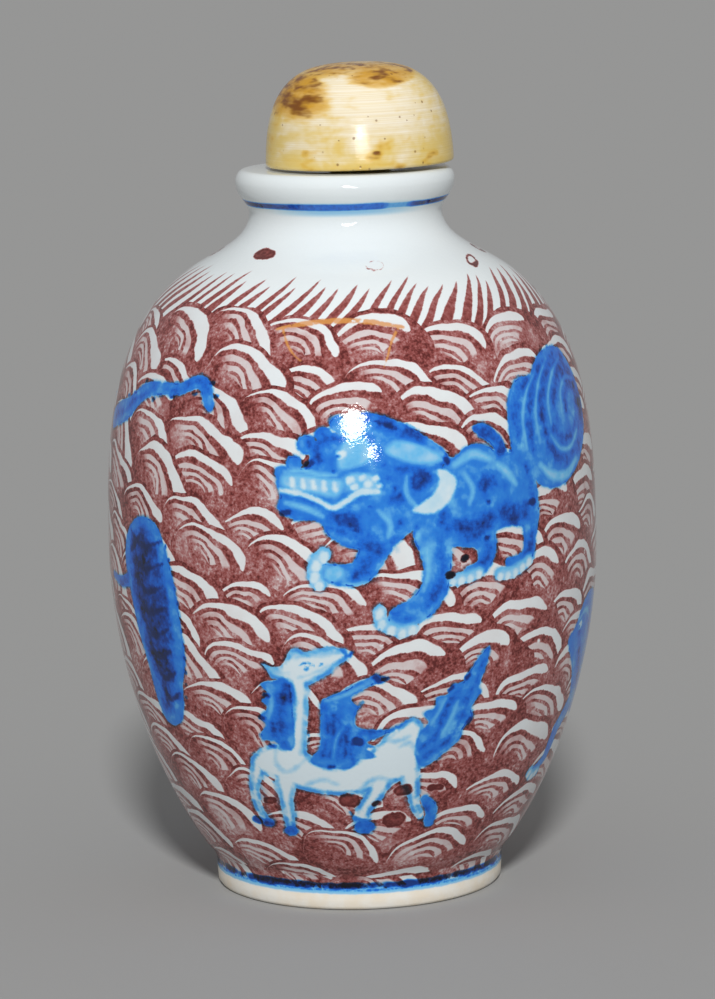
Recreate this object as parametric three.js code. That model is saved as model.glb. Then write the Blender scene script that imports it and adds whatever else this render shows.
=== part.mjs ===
// Snuff bottle: a hollow porcelain bottle and its turned bone stopper.
// Millimetres, +Z up. The origin is the middle of the foot, on the ground.
// The painted front of the bottle faces -Y.

import * as THREE from 'three';

// Body: an egg shape that is widest at the belly. Each half is a superellipse.
const BELLY_RADIUS = 23.0;
const BELLY_HEIGHT = 32.0;
const LOWER_REACH = 38.4;
const LOWER_POWER = 1.82;
const UPPER_REACH = 29.6;
const UPPER_POWER = 2.93;

// Foot: an unglazed ring round a shallow recess.
const FOOT_BAND_HEIGHT = 2.3;
const FOOT_RADIUS = 13.6;
const FOOT_TREAD_OUTER = 13.0;
const FOOT_TREAD_INNER = 11.5;
const FOOT_EDGE = 0.4;
const RECESS_RADIUS = 10.9;
const RECESS_DEPTH = 1.4;
const WALL_START_HEIGHT = 4.8;

// Shoulder, neck and lip.
const SHOULDER_HEIGHT = 58.6;
const NECK_RADIUS = 9.0;
const NECK_HEIGHT = 63.8;
const LIP_RADIUS = 10.25;
const LIP_WIDEST_HEIGHT = 66.6;
const LIP_TOP_HEIGHT = 67.8;
const LIP_ROUND = 0.9;

// Inside of the bottle.
const WALL = 2.2;
const BORE_RADIUS = 4.5;
const BORE_EDGE = 0.6;
const BORE_BOTTOM_HEIGHT = 61.2;
const INNER_SHOULDER_HEIGHT = 57.4;
const FLOOR_HEIGHT = 4.1;
const FLOOR_RADIUS = 9.5;
const FLOOR_CURVE_HEIGHT = 6.6;

// Stopper: a domed cap with a short plug, set a little to one side and tilted.
const CAP_RADIUS = 8.8;
const CAP_HEIGHT = 9.35;
const CAP_POWER = 3.07;
const CAP_SUNK = 2.14;
const CAP_EDGE = 0.3;
const PLUG_RADIUS = 2.7;
const PLUG_LENGTH = 4.2;
const PLUG_EDGE = 0.4;
const STOPPER_SHIFT = 1.43;
const STOPPER_TILT = THREE.MathUtils.degToRad(0.95);
const REST_GAP = 0.2;

// Fineness of the facets.
const BOTTLE_SIDES = 56;
const STOPPER_SIDES = 40;
const BODY_STEPS = 8;
const CURVE_STEPS = 4;
const EDGE_STEPS = 3;
const DOME_STEPS = 10;

const point = (radius, height) => new THREE.Vector2(radius, height);

// Radius of an egg-shaped wall at a height. The inset moves the wall inwards.
function eggRadius(height, inset = 0) {
  const upper = height > BELLY_HEIGHT;
  const reach = (upper ? UPPER_REACH : LOWER_REACH) - inset;
  const power = upper ? UPPER_POWER : LOWER_POWER;
  const share = Math.abs(height - BELLY_HEIGHT) / reach;
  return (BELLY_RADIUS - inset) * (1 - share ** power) ** (1 / power);
}

// Direction in which the egg-shaped wall runs upwards at a height.
function eggTangent(height, inset = 0) {
  const step = 0.01;
  const below = point(eggRadius(height - step, inset), height - step);
  const above = point(eggRadius(height + step, inset), height + step);
  return above.sub(below).normalize();
}

// Points of the egg-shaped wall from the belly to a height, closer together where it turns.
function eggWall(toHeight, inset = 0) {
  const points = [];
  for (let i = 0; i <= BODY_STEPS; i += 1) {
    const share = Math.sin((Math.PI / 2) * (i / BODY_STEPS));
    const height = BELLY_HEIGHT + (toHeight - BELLY_HEIGHT) * share;
    points.push(point(eggRadius(height, inset), height));
  }
  return points;
}

// Smooth bend from one point to another, leaving and arriving along given arms.
function bend(start, startArm, end, endArm, steps = CURVE_STEPS) {
  const curve = new THREE.CubicBezierCurve(
    start,
    start.clone().add(startArm),
    end.clone().sub(endArm),
    end,
  );
  return curve.getPoints(steps);
}

// Quarter of an ellipse between two points. It leaves the first one upright or level.
function quarterRound(start, end, leavesUpright, steps = EDGE_STEPS) {
  const points = [];
  for (let i = 0; i <= steps; i += 1) {
    const angle = (Math.PI / 2) * (i / steps);
    const slow = 1 - Math.cos(angle);
    const fast = Math.sin(angle);
    const across = leavesUpright ? slow : fast;
    const along = leavesUpright ? fast : slow;
    points.push(point(
      start.x + (end.x - start.x) * across,
      start.y + (end.y - start.y) * along,
    ));
  }
  return points;
}

// Underside, from the middle of the recess out to the top of the foot band.
function footProfile() {
  return [
    point(0, RECESS_DEPTH),
    point(RECESS_RADIUS - 1, RECESS_DEPTH),
    point(RECESS_RADIUS, RECESS_DEPTH - 0.3),
    point(FOOT_TREAD_INNER, 0),
    point(FOOT_TREAD_OUTER, 0),
    point(FOOT_RADIUS - 0.1, FOOT_EDGE),
    point(FOOT_RADIUS, FOOT_BAND_HEIGHT),
  ];
}

// Outer wall, from the bend above the foot band to the start of the neck's bend.
function bodyProfile() {
  const bandTop = point(FOOT_RADIUS, FOOT_BAND_HEIGHT);
  const wallStart = point(eggRadius(WALL_START_HEIGHT), WALL_START_HEIGHT);
  const wallArm = eggTangent(WALL_START_HEIGHT).multiplyScalar(1.0);
  const bandArm = point(0, 0.9);
  return [
    ...bend(bandTop, bandArm, wallStart, wallArm, EDGE_STEPS),
    ...eggWall(WALL_START_HEIGHT).reverse(),
    ...eggWall(SHOULDER_HEIGHT),
  ];
}

// Shoulder, neck and the outside of the rounded lip.
function neckProfile() {
  const shoulder = point(eggRadius(SHOULDER_HEIGHT), SHOULDER_HEIGHT);
  const neck = point(NECK_RADIUS, NECK_HEIGHT);
  const lip = point(LIP_RADIUS, LIP_WIDEST_HEIGHT);
  const lipTop = point(LIP_RADIUS - LIP_ROUND, LIP_TOP_HEIGHT);
  return [
    ...bend(shoulder, eggTangent(SHOULDER_HEIGHT).multiplyScalar(3.0), neck, point(0, 2.6)),
    ...bend(neck, point(0, 1.0), lip, point(0, 1.4)),
    ...quarterRound(lip, lipTop, true),
  ];
}

// Mouth, bore and the inside of the body, down to the middle of the floor.
function insideProfile() {
  const mouth = point(BORE_RADIUS + BORE_EDGE, LIP_TOP_HEIGHT);
  const boreTop = point(BORE_RADIUS, LIP_TOP_HEIGHT - BORE_EDGE);
  const boreBottom = point(BORE_RADIUS, BORE_BOTTOM_HEIGHT);
  const innerShoulder = point(eggRadius(INNER_SHOULDER_HEIGHT, WALL), INNER_SHOULDER_HEIGHT);
  const floorCurve = point(eggRadius(FLOOR_CURVE_HEIGHT, WALL), FLOOR_CURVE_HEIGHT);
  const floor = point(FLOOR_RADIUS, FLOOR_HEIGHT);
  const shoulderArm = eggTangent(INNER_SHOULDER_HEIGHT, WALL).multiplyScalar(-3.0);
  const wallArm = eggTangent(FLOOR_CURVE_HEIGHT, WALL).multiplyScalar(-1.6);
  return [
    ...quarterRound(mouth, boreTop, false),
    ...bend(boreBottom, point(0, -1.6), innerShoulder, shoulderArm),
    ...eggWall(INNER_SHOULDER_HEIGHT, WALL).reverse(),
    ...eggWall(FLOOR_CURVE_HEIGHT, WALL),
    ...bend(floorCurve, wallArm, floor, point(-2, 0), EDGE_STEPS),
    point(0, FLOOR_HEIGHT),
  ];
}

// Cap and plug in one, from the plug's end to the top of the dome. Height 0 is the cap's underside.
function stopperProfile() {
  const points = [
    point(0, -PLUG_LENGTH),
    point(PLUG_RADIUS - PLUG_EDGE, -PLUG_LENGTH),
    point(PLUG_RADIUS, PLUG_EDGE - PLUG_LENGTH),
    point(PLUG_RADIUS, 0),
    point(CAP_RADIUS - CAP_EDGE, 0),
  ];
  const reach = CAP_HEIGHT + CAP_SUNK;
  for (let i = 0; i <= DOME_STEPS; i += 1) {
    const share = Math.sin((Math.PI / 2) * (i / DOME_STEPS));
    const height = CAP_EDGE + (CAP_HEIGHT - CAP_EDGE) * share;
    const rise = Math.min((height + CAP_SUNK) / reach, 1);
    points.push(point(CAP_RADIUS * (1 - rise ** CAP_POWER) ** (1 / CAP_POWER), height));
  }
  return points;
}

// Profiles meet end to end, so a point that repeats the one before it is dropped.
function withoutRepeats(points) {
  return points.filter((p, i) => i === 0 || p.distanceTo(points[i - 1]) > 1e-4);
}

// Solid turned round the Z axis from a profile of radius and height.
function turned(profile, sides) {
  const geometry = new THREE.LatheGeometry(withoutRepeats(profile), sides);
  geometry.rotateX(Math.PI / 2);
  return geometry;
}

function glazedPorcelain() {
  return new THREE.MeshStandardMaterial({ color: 0xb9a3a8, roughness: 0.15, metalness: 0 });
}

function agedBone() {
  return new THREE.MeshStandardMaterial({ color: 0xe8cf9a, roughness: 0.35, metalness: 0 });
}

function makeBottle() {
  const profile = [
    ...footProfile(),
    ...bodyProfile(),
    ...neckProfile(),
    ...insideProfile(),
  ];
  const bottle = new THREE.Mesh(turned(profile, BOTTLE_SIDES), glazedPorcelain());
  bottle.name = 'bottle';
  return bottle;
}

// The lower edge of the tilted cap stays just clear of the lip that it rests on.
function makeStopper() {
  const stopper = new THREE.Mesh(turned(stopperProfile(), STOPPER_SIDES), agedBone());
  stopper.name = 'stopper';
  stopper.position.x = STOPPER_SHIFT;
  stopper.position.z = LIP_TOP_HEIGHT + REST_GAP + CAP_RADIUS * Math.sin(STOPPER_TILT);
  stopper.rotation.y = -STOPPER_TILT;
  return stopper;
}

const snuffBottle = new THREE.Group();
snuffBottle.add(makeBottle());
snuffBottle.add(makeStopper());

export default snuffBottle;
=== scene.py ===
"""Looks of the snuff bottle: porcelain painted in brownish red and blue, and its turned bone stopper.

Sizes are millimetres until a mesh is finished, when it becomes metres as the frame is.
"""
import math

import bmesh
import bpy
import numpy as np
from mathutils import Matrix, Vector


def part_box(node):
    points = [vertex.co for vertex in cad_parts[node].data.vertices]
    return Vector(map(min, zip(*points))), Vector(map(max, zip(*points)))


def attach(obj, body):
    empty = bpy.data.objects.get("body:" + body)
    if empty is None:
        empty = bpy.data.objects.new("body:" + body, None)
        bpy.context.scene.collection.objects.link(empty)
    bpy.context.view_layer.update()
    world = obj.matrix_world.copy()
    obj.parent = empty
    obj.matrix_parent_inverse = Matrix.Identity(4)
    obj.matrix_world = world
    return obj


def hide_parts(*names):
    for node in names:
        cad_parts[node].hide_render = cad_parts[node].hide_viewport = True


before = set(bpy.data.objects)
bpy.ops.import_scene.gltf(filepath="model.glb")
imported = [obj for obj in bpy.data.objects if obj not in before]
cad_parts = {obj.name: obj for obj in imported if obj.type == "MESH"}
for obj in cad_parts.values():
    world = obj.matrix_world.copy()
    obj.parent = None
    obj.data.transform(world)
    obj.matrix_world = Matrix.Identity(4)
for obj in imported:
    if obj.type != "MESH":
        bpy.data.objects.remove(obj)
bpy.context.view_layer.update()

MM = 0.001

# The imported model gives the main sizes.
_, bottle_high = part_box("bottle")
BELLY_RADIUS = bottle_high.x / MM
LIP_TOP = bottle_high.z / MM

# Body: an egg shape, widest at the belly. Each half is a superellipse.
BELLY_HEIGHT = 32.0
LOWER_REACH = 38.4
LOWER_POWER = 1.82
UPPER_REACH = 29.6
UPPER_POWER = 2.93

# Foot, shoulder, neck and lip.
FOOT_BAND_HEIGHT = 2.3
FOOT_RADIUS = 13.6
TREAD_OUTER = 13.0
TREAD_INNER = 11.5
RECESS_RADIUS = 10.9
RECESS_DEPTH = 1.4
WALL_START = 4.8
SHOULDER_HEIGHT = 58.6
NECK_RADIUS = 9.0
NECK_HEIGHT = 63.8
LIP_RADIUS = 10.25
LIP_WIDEST = 66.6
LIP_ROUND = 0.9

# Inside of the bottle.
WALL = 2.2
BORE_RADIUS = 4.5
BORE_EDGE = 0.6
BORE_BOTTOM = 61.2
INNER_SHOULDER = 57.4
FLOOR_HEIGHT = 4.1
FLOOR_RADIUS = 9.5
FLOOR_CURVE = 6.6

# Stopper: a domed cap with a short plug, set to one side and tilted.
CAP_RADIUS = 8.8
CAP_HEIGHT = 9.35
CAP_POWER = 3.07
CAP_SUNK = 2.14
CAP_EDGE = 0.3
PLUG_RADIUS = 2.7
PLUG_LENGTH = 4.2
PLUG_EDGE = 0.4
STOPPER_SHIFT = 1.43
STOPPER_TILT = math.radians(0.95)
REST_GAP = 0.2

# Fineness of the meshes.
BOTTLE_SIDES = 192
STOPPER_SIDES = 160
WALL_STEP = 0.75
PLAIN_STEP = 2.6
WALL_TOLERANCE = 0.12
SAME_POINT = 1e-4
ON_AXIS = 1e-3

# Part of the texture map that the wrap takes across, and how deep the finest unevenness is.
MAP_EDGE = 0.002
MAP_WIDTH = 0.985
BUMP_DEPTH = 0.0001

# Setting.
ROOM_GREY = (0.32, 0.32, 0.323, 1)
FLOOR_HALF = 6.0
SUN_STRENGTH = 2.55
SUN_SPREAD = math.radians(7)
SUN_LEAN = math.radians(54)
SUN_TURN = math.radians(1.5)
GLINT_AIM = (0, 0, 47)
CAMERA_PLACE = (0.54, -395.62, 101.52)
CAMERA_PITCH = math.radians(9.35)
CAMERA_ROLL = math.radians(-1.22)
CAMERA_LENS = 153.15
CAMERA_SENSOR = 36.0


# ---------------------------------------------------------------- profiles

def egg_radius(height, inset=0.0):
    """Radius of the egg-shaped wall at a height."""
    height = np.asarray(height, float)
    upper = height > BELLY_HEIGHT
    reach = np.where(upper, UPPER_REACH, LOWER_REACH) - inset
    power = np.where(upper, UPPER_POWER, LOWER_POWER)
    share = np.abs(height - BELLY_HEIGHT) / reach
    return (BELLY_RADIUS - inset) * (1 - share ** power) ** (1 / power)


def egg_tangent(height, inset=0.0):
    """Direction in which the egg-shaped wall runs upwards."""
    step = 0.01
    run = egg_radius(height + step, inset) - egg_radius(height - step, inset)
    direction = np.array([run, 2 * step])
    return direction / np.hypot(*direction)


def egg_wall(start, end, inset=0.0, count=60):
    heights = np.linspace(start, end, count)
    return np.stack([egg_radius(heights, inset), heights], 1)


def bend(start, start_arm, end, end_arm, count=24):
    """Cubic curve from one point to another, leaving and arriving along given arms."""
    points = [np.array(start, float), np.add(start, start_arm)]
    points += [np.subtract(end, end_arm), np.array(end, float)]
    t = np.linspace(0, 1, count)[:, None]
    weights = ((1 - t) ** 3, 3 * (1 - t) ** 2 * t, 3 * (1 - t) * t ** 2, t ** 3)
    return sum(w * p for w, p in zip(weights, points))


def quarter_round(start, end, leaves_upright, count=9):
    angle = np.linspace(0, math.pi / 2, count)
    slow, fast = 1 - np.cos(angle), np.sin(angle)
    across, along = (slow, fast) if leaves_upright else (fast, slow)
    radius = start[0] + (end[0] - start[0]) * across
    return np.stack([radius, start[1] + (end[1] - start[1]) * along], 1)


def even_steps(points, step):
    """The same line with points about a step apart."""
    points = np.array(points, float)
    length = np.concatenate([[0], np.cumsum(np.hypot(*np.diff(points, axis=0).T))])
    at = np.linspace(0, length[-1], max(2, round(length[-1] / step) + 1))
    return np.stack([np.interp(at, length, points[:, i]) for i in (0, 1)], 1)


def outer_profile():
    """Outside of the bottle from the foot's lower edge to the widest part of the lip."""
    wall_start = (egg_radius(WALL_START), WALL_START)
    shoulder = (egg_radius(SHOULDER_HEIGHT), SHOULDER_HEIGHT)
    neck = (NECK_RADIUS, NECK_HEIGHT)
    lip = (LIP_RADIUS, LIP_WIDEST)
    foot_top = (FOOT_RADIUS, FOOT_BAND_HEIGHT)
    return np.vstack([
        [(FOOT_RADIUS - 0.1, 0.4), foot_top],
        bend(foot_top, (0, 0.9), wall_start, egg_tangent(WALL_START))[1:],
        egg_wall(WALL_START, SHOULDER_HEIGHT, count=200)[1:],
        bend(shoulder, egg_tangent(SHOULDER_HEIGHT) * 3.0, neck, (0, 2.6))[1:],
        bend(neck, (0, 1.0), lip, (0, 1.4))[1:],
    ])


def inside_profile():
    """From the widest part of the lip over the mouth and down to the middle of the floor."""
    lip = (LIP_RADIUS, LIP_WIDEST)
    mouth = (BORE_RADIUS + BORE_EDGE, LIP_TOP)
    bore_top = (BORE_RADIUS, LIP_TOP - BORE_EDGE)
    shoulder = (egg_radius(INNER_SHOULDER, WALL), INNER_SHOULDER)
    floor_curve = (egg_radius(FLOOR_CURVE, WALL), FLOOR_CURVE)
    lip_round = quarter_round(lip, (LIP_RADIUS - LIP_ROUND, LIP_TOP), True)
    shoulder_arm = egg_tangent(INNER_SHOULDER, WALL) * -3.0
    wall_arm = egg_tangent(FLOOR_CURVE, WALL) * -1.6
    inner_wall = egg_wall(INNER_SHOULDER, FLOOR_CURVE, WALL)[1:]
    floor = (FLOOR_RADIUS, FLOOR_HEIGHT)
    hidden = np.vstack([
        bend((BORE_RADIUS, BORE_BOTTOM), (0, -1.6), shoulder, shoulder_arm),
        inner_wall,
        bend(floor_curve, wall_arm, floor, (-2, 0))[1:],
        [(0, FLOOR_HEIGHT)],
    ])
    return np.vstack([
        lip_round[1:],
        quarter_round(mouth, bore_top, False),
        even_steps([bore_top, (BORE_RADIUS, BORE_BOTTOM)], PLAIN_STEP)[1:-1],
        even_steps(hidden, PLAIN_STEP),
    ])


def underside_profile():
    """From the middle of the recess to the foot's lower edge."""
    return np.array([
        (0, RECESS_DEPTH),
        (5.0, RECESS_DEPTH),
        (RECESS_RADIUS - 1, RECESS_DEPTH),
        (RECESS_RADIUS - 0.3, RECESS_DEPTH - 0.1),
        (RECESS_RADIUS, RECESS_DEPTH - 0.35),
        (TREAD_INNER - 0.15, 0.15),
        (TREAD_INNER, 0),
        (TREAD_OUTER, 0),
        (TREAD_OUTER + 0.3, 0.12),
    ])


OUTER = outer_profile()
OUTER_RISE = np.concatenate([[0], np.cumsum(np.hypot(*np.diff(OUTER, axis=0).T))])


# ---------------------------------------------------------------- painting

# Layers of paint, from the lowest up. Each is stored as how deep a point lies inside it.
LAYERS = ("reserve", "mid", "deep", "lift", "ink", "bare", "rust", "gilt")
FAR = 1.5

# Stands in for the rise up the wall on faces that are no part of it.
RISE_TREAD = -1.0
RISE_RECESS = -20.0
RISE_INSIDE = 90.0


def smooth_curve(points, closed=False, steps=5):
    """Catmull-Rom curve through points. A third value, a half width, is smoothed with them."""
    p = np.array(points, float)
    if closed:
        q = np.vstack([p[-1:], p, p[:2]])
    else:
        q = np.vstack([2 * p[0] - p[1], p, 2 * p[-1] - p[-2]])
    t = np.linspace(0, 1, steps, endpoint=False)[:, None]
    parts = []
    for a, b, c, d in zip(q[:-3], q[1:-2], q[2:-1], q[3:]):
        square = (2 * a - 5 * b + 4 * c - d) * t ** 2
        cube = (3 * b - a - 3 * c + d) * t ** 3
        parts.append(0.5 * (2 * b + (c - a) * t + square + cube))
    if not closed:
        parts.append(p[-1:])
    return np.vstack(parts)


def gaps_to_segments(xy, a, b):
    """Distances from points to straight segments, and how far along each the nearest place is."""
    along = b - a
    square = np.maximum((along ** 2).sum(1), 1e-9)
    away = xy[:, None, :] - a[None]
    share = np.clip((away * along).sum(2) / square, 0, 1)
    gap = away - share[..., None] * along
    return np.hypot(gap[..., 0], gap[..., 1]), share


class Place:
    """A flat sheet of paper laid on the wall, on which a motif is painted in millimetres."""

    def __init__(self, painter, bearing, rise, flip=1, size=1.0):
        turn = (painter.turn - bearing / 360 + 0.5) % 1 - 0.5
        x = turn * 2 * math.pi * painter.radius * flip / size
        self.xy = np.stack([x, (painter.rise - rise) / size], 1)
        self.size = size
        self.depth = painter.depth

    def _add(self, layers, points, reach, measure):
        low = points[:, :2].min(0) - reach - FAR
        high = points[:, :2].max(0) + reach + FAR
        near = np.nonzero(((self.xy > low) & (self.xy < high)).all(1))[0]
        if not len(near):
            return
        inside = measure(self.xy[near]) * self.size
        for layer in layers.split():
            self.depth[layer][near] = np.maximum(self.depth[layer][near], inside)

    def limb(self, layers, *points):
        """A stroke whose half width is given at each point."""
        line = smooth_curve(points)

        def measure(xy):
            gap, share = gaps_to_segments(xy, line[:-1, :2], line[1:, :2])
            width = line[:-1, 2] + share * (line[1:, 2] - line[:-1, 2])
            return (width - gap).max(1)

        self._add(layers, line, line[:, 2].max(), measure)

    def stroke(self, layers, width, *points):
        """A brush stroke that thins towards both ends."""
        share = np.linspace(0, 1, len(points))
        widths = width * (0.45 + 0.55 * np.sin(np.pi * np.clip(share, 0.04, 0.96)) ** 0.6)
        self.limb(layers, *[(x, y, w) for (x, y), w in zip(points, widths)])

    def patch(self, layers, *points):
        """An area inside a smooth outline."""
        ring = smooth_curve(points, closed=True)
        after = np.roll(ring, -1, 0)

        def measure(xy):
            gap = gaps_to_segments(xy, ring, after)[0].min(1)
            y = xy[:, 1:]
            crosses = (ring[:, 1] > y) != (after[:, 1] > y)
            rise = after[:, 1] - ring[:, 1]
            rise = np.where(np.abs(rise) < 1e-9, 1e-9, rise)
            at = ring[:, 0] + (y - ring[:, 1]) * (after[:, 0] - ring[:, 0]) / rise
            within = (crosses & (xy[:, :1] < at)).sum(1) % 2 == 1
            return np.where(within, gap, -gap)

        self._add(layers, ring, 0.0, measure)

    def dot(self, layers, x, y, radius, stretch=1.0, lean=0.0):
        """A round or oval dab."""
        half = max(radius * (stretch - 1), 0.01)
        dx, dy = half * math.cos(lean), half * math.sin(lean)
        self.limb(layers, (x - dx, y - dy, radius), (x + dx, y + dy, radius))

    def ring(self, layers, x, y, radius, width, start=0, end=360):
        angles = np.radians(np.linspace(start, end, 12))
        points = [(x + radius * math.cos(a), y + radius * math.sin(a), width) for a in angles]
        self.limb(layers, *points)

    def limbs(self, layers, *rows):
        for row in rows:
            self.limb(layers, *row)

    def strokes(self, layers, *rows):
        """Several brush strokes: for each its half width, then its points."""
        for row in rows:
            self.stroke(layers, *row)

    def dots(self, layers, *rows):
        """Several dabs: for each its middle, radius, and then stretch and lean if it has them."""
        for row in rows:
            self.dot(layers, *row)

    def claws(self, radius, *places):
        """A pale paw with its claws side by side."""
        self.limb("reserve lift", *[(x, y + 0.3, radius + 0.3) for x, y in places])
        for x, y in places:
            self.dot("bare", x, y, radius, 1.4, 1.3)


class Painter:
    """Knows where each point of the wall is, and records every layer of paint on it."""

    def __init__(self, places):
        self.turn = np.arctan2(places[:, 0], -places[:, 1]) / (2 * math.pi)
        self.radius = np.hypot(places[:, 0], places[:, 1])
        self.rise = np.interp(places[:, 2], OUTER[:, 1], OUTER_RISE)
        self.depth = {layer: np.full(len(places), -FAR) for layer in LAYERS}

    def at(self, bearing, rise, flip=1, size=1.0):
        return Place(self, bearing, rise, flip, size)


def paint_lion_tail(p):
    """Bushy tail with curling locks."""
    p.patch("reserve mid", (6.2, 3.4), (5.9, 5.6), (5.8, 8), (6.3, 10), (7.6, 11.3), (9.5, 11.5),
        (10.6, 12.5), (12, 13.3), (14, 13.6), (16.2, 13.1), (18.2, 11.2), (19.6, 8.2), (19.3, 5.4),
        (17.6, 3.2), (15.4, 1.7), (13.2, 0.9), (11, 0.9), (9.4, 1.4), (8.4, 2.2))
    p.strokes("deep", (0.7, (7, 5.6), (6.9, 8), (7.9, 10.2), (9.2, 10.9)),
        (0.6, (8.8, 4.6), (8.5, 7.6), (9.7, 10.4), (11.6, 12.2)),
        (0.6, (10.8, 6), (10.5, 8.6), (11.9, 11), (14.2, 12.6)),
        (0.6, (12.8, 7.2), (13, 9.2), (14.8, 11.2), (17, 11.4)),
        (0.6, (15, 7.6), (15.6, 9.2), (17.2, 9.6), (18.6, 8.2)),
        (0.5, (11, 5), (12.4, 3.6), (14.6, 3.2), (16.6, 4.4)),
        (0.5, (12.2, 6.2), (13.4, 5.2), (15.2, 5), (16.8, 6.2), (17.6, 7.6)),
        # The two broad deep strokes down the tail's outer edge are partly deeper paint and partly painted
        # shade, darkening the tail where it turns away to the side of the bottle.
        (1.1, (15.6, 12.2), (18, 9.4), (18.6, 6.4), (16.8, 3.8)),
        (0.8, (12.2, 12.2), (14.6, 11.8), (16.4, 9.6)))
    p.strokes("lift", (0.2, (7.9, 4.9), (7.7, 7.6), (8.7, 10), (10.2, 11.4)),
        (0.18, (9.8, 5.2), (9.6, 8), (10.8, 10.8), (12.8, 12.6)),
        (0.2, (11.8, 6.6), (11.8, 9), (13.4, 11.2), (15.6, 12.3)),
        (0.16, (14, 7.4), (14.4, 9.4), (16, 10.4), (18, 10)),
        (0.5, (9.6, 3.2), (11.4, 2), (14, 1.8), (16, 2.8)),
        (0.22, (11.6, 5.6), (13, 4.3), (15, 4.1), (17, 5.4)))


def paint_lion_head(p):
    """Head with an open mouth, seen from the side, with crest, ear and mane."""
    p.patch("reserve mid", (-13.9, 7.3), (-12.4, 6.9), (-11.2, 7.6), (-9.8, 8.7), (-8.4, 9.4), (-7, 9.2),
        (-5.2, 8.5), (-3.2, 7.3), (-1.5, 6), (-0.8, 4.9), (-1.5, 4.1), (-1, 2), (-2.4, 0.2), (-4.6, -1.4),
        (-6.9, -2.8), (-9.4, -2.9), (-11.3, -2.2), (-12.3, -1.4), (-12.9, -0.3), (-14.8, -0.2),
        (-15.9, 0.2), (-16.7, 0.9), (-16.4, 2), (-16.7, 3.2), (-16.1, 4.1), (-14.9, 4.6), (-13.8, 4.6),
        (-13.5, 5.4), (-13.8, 6.3))
    p.dots("reserve mid", (-16.1, 4, 0.7), (-14.9, 4.9, 0.75), (-13.6, 6.6, 0.9), (-12, 7.4, 0.8),
        (-10.6, 8.4, 0.8))
    # Crest over the brow, and the ear.
    p.strokes("deep", (0.75, (-8.6, 8.7), (-7, 8.5), (-5.3, 7.7), (-3.4, 6.7)),
        (0.3, (-6.9, 4.6), (-4.8, 4.1), (-2.8, 4), (-1.3, 4.5)))
    p.stroke("ink", 0.35, (-7.4, 8.6), (-6.3, 8.2), (-5.2, 7.7))
    p.patch("lift", (-6.7, 5.7), (-5.8, 6.8), (-4, 6.6), (-2.4, 5.8), (-1.5, 4.9), (-2.6, 4.5), (-4.6, 4.7))
    p.dot("ink", -1.1, 4.8, 0.36, 1.6, -1)
    # Brow, eye and nose.
    p.patch("lift", (-10.9, 4.4), (-10.8, 6.2), (-9.6, 7.4), (-8.2, 7), (-7.9, 5.4), (-8.9, 4.6))
    p.strokes("deep", (0.42, (-12.4, 5.2), (-12.6, 6.6), (-11.4, 7.2), (-10.2, 6.9)),
        (0.5, (-13.5, 6.7), (-12.9, 5.8), (-12.9, 4.9)))
    p.dot("bare", -10.6, 5.7, 0.36, 1.4, 0.3)
    p.dots("ink", (-10.9, 5.6, 0.24, 1.3), (-13.5, 4.9, 0.42, 1.5, 0.4))
    p.stroke("lift", 0.3, (-15.8, 4.1), (-14.2, 4.3), (-12.6, 3.9), (-11.2, 3.9))
    # Teeth and the pale edge of the jaw.
    p.patch("lift", (-16.1, 3.9), (-14.2, 4), (-12.2, 3.7), (-10.6, 3.4), (-11.2, 1.9), (-13.2, 2.2),
        (-15.9, 2.7))
    for i in range(5):
        x = -15.2 + 0.95 * i
        p.limb("bare", (x, 3.5 - 0.1 * i, 0.2), (x + 0.05, 3.0 - 0.1 * i, 0.26))
    p.limb("bare", (-16.3, 2.5, 0.2), (-14.6, 2.25, 0.26), (-12.9, 1.6, 0.24), (-11.7, 0.95, 0.24),
        (-10.5, 1.5, 0.26), (-9.2, 2.3, 0.3), (-7.5, 2.3, 0.26))
    p.stroke("deep", 0.2, (-16, 2), (-14, 1.7), (-12.2, 0.8), (-10.8, 0.7), (-9.2, 1.6))
    # Cheek curls.
    p.dot("lift", -8.9, 3.2, 0.9, 1.7, -0.1)
    p.dots("bare", (-10, 3.4, 0.34, 1.3, 0.5), (-9.6, 2.8, 0.3, 1.3, 0.5), (-8.9, 3.6, 0.26, 1.3, 0.5),
        (-8.4, 3, 0.32, 1.3, 0.5), (-7.7, 3.5, 0.28, 1.3, 0.5), (-7.4, 2.8, 0.22, 1.3, 0.5))
    p.dot("ink", -11.4, 4.2, 0.22)
    # Lower jaw and beard.
    p.dots("ink", (-15.9, 0.5, 0.36, 1.8, 0.1), (-8.4, 1, 0.2), (-9.7, -1.1, 0.22, 1.6))
    p.stroke("lift", 0.35, (-15.9, 1.4), (-14, 0.9), (-12.6, 0.2))
    p.strokes("deep", (0.8, (-11.6, 0.4), (-10.2, -0.2), (-9.4, -1)),
        (0.9, (-9.6, -1.6), (-8.4, -2.2), (-7.6, -3.2)), (0.25, (-12.2, -0.8), (-10.6, -1.4), (-9.2, -2.4)))
    # Mane.
    p.dots("deep", (-3.5, 3.1, 0.95, 1.25, 0.5), (-5.8, 1.5, 0.75, 1.2, 1.2))
    p.stroke("deep", 0.3, (-6.6, 3.6), (-6, 2.6), (-6.4, 1.2))
    p.strokes("lift", (0.25, (-4.9, 3.6), (-5, 2), (-4.2, 0.9)),
        (0.28, (-7.6, 0.6), (-6.6, -0.6), (-6.8, -1.8)))


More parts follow.
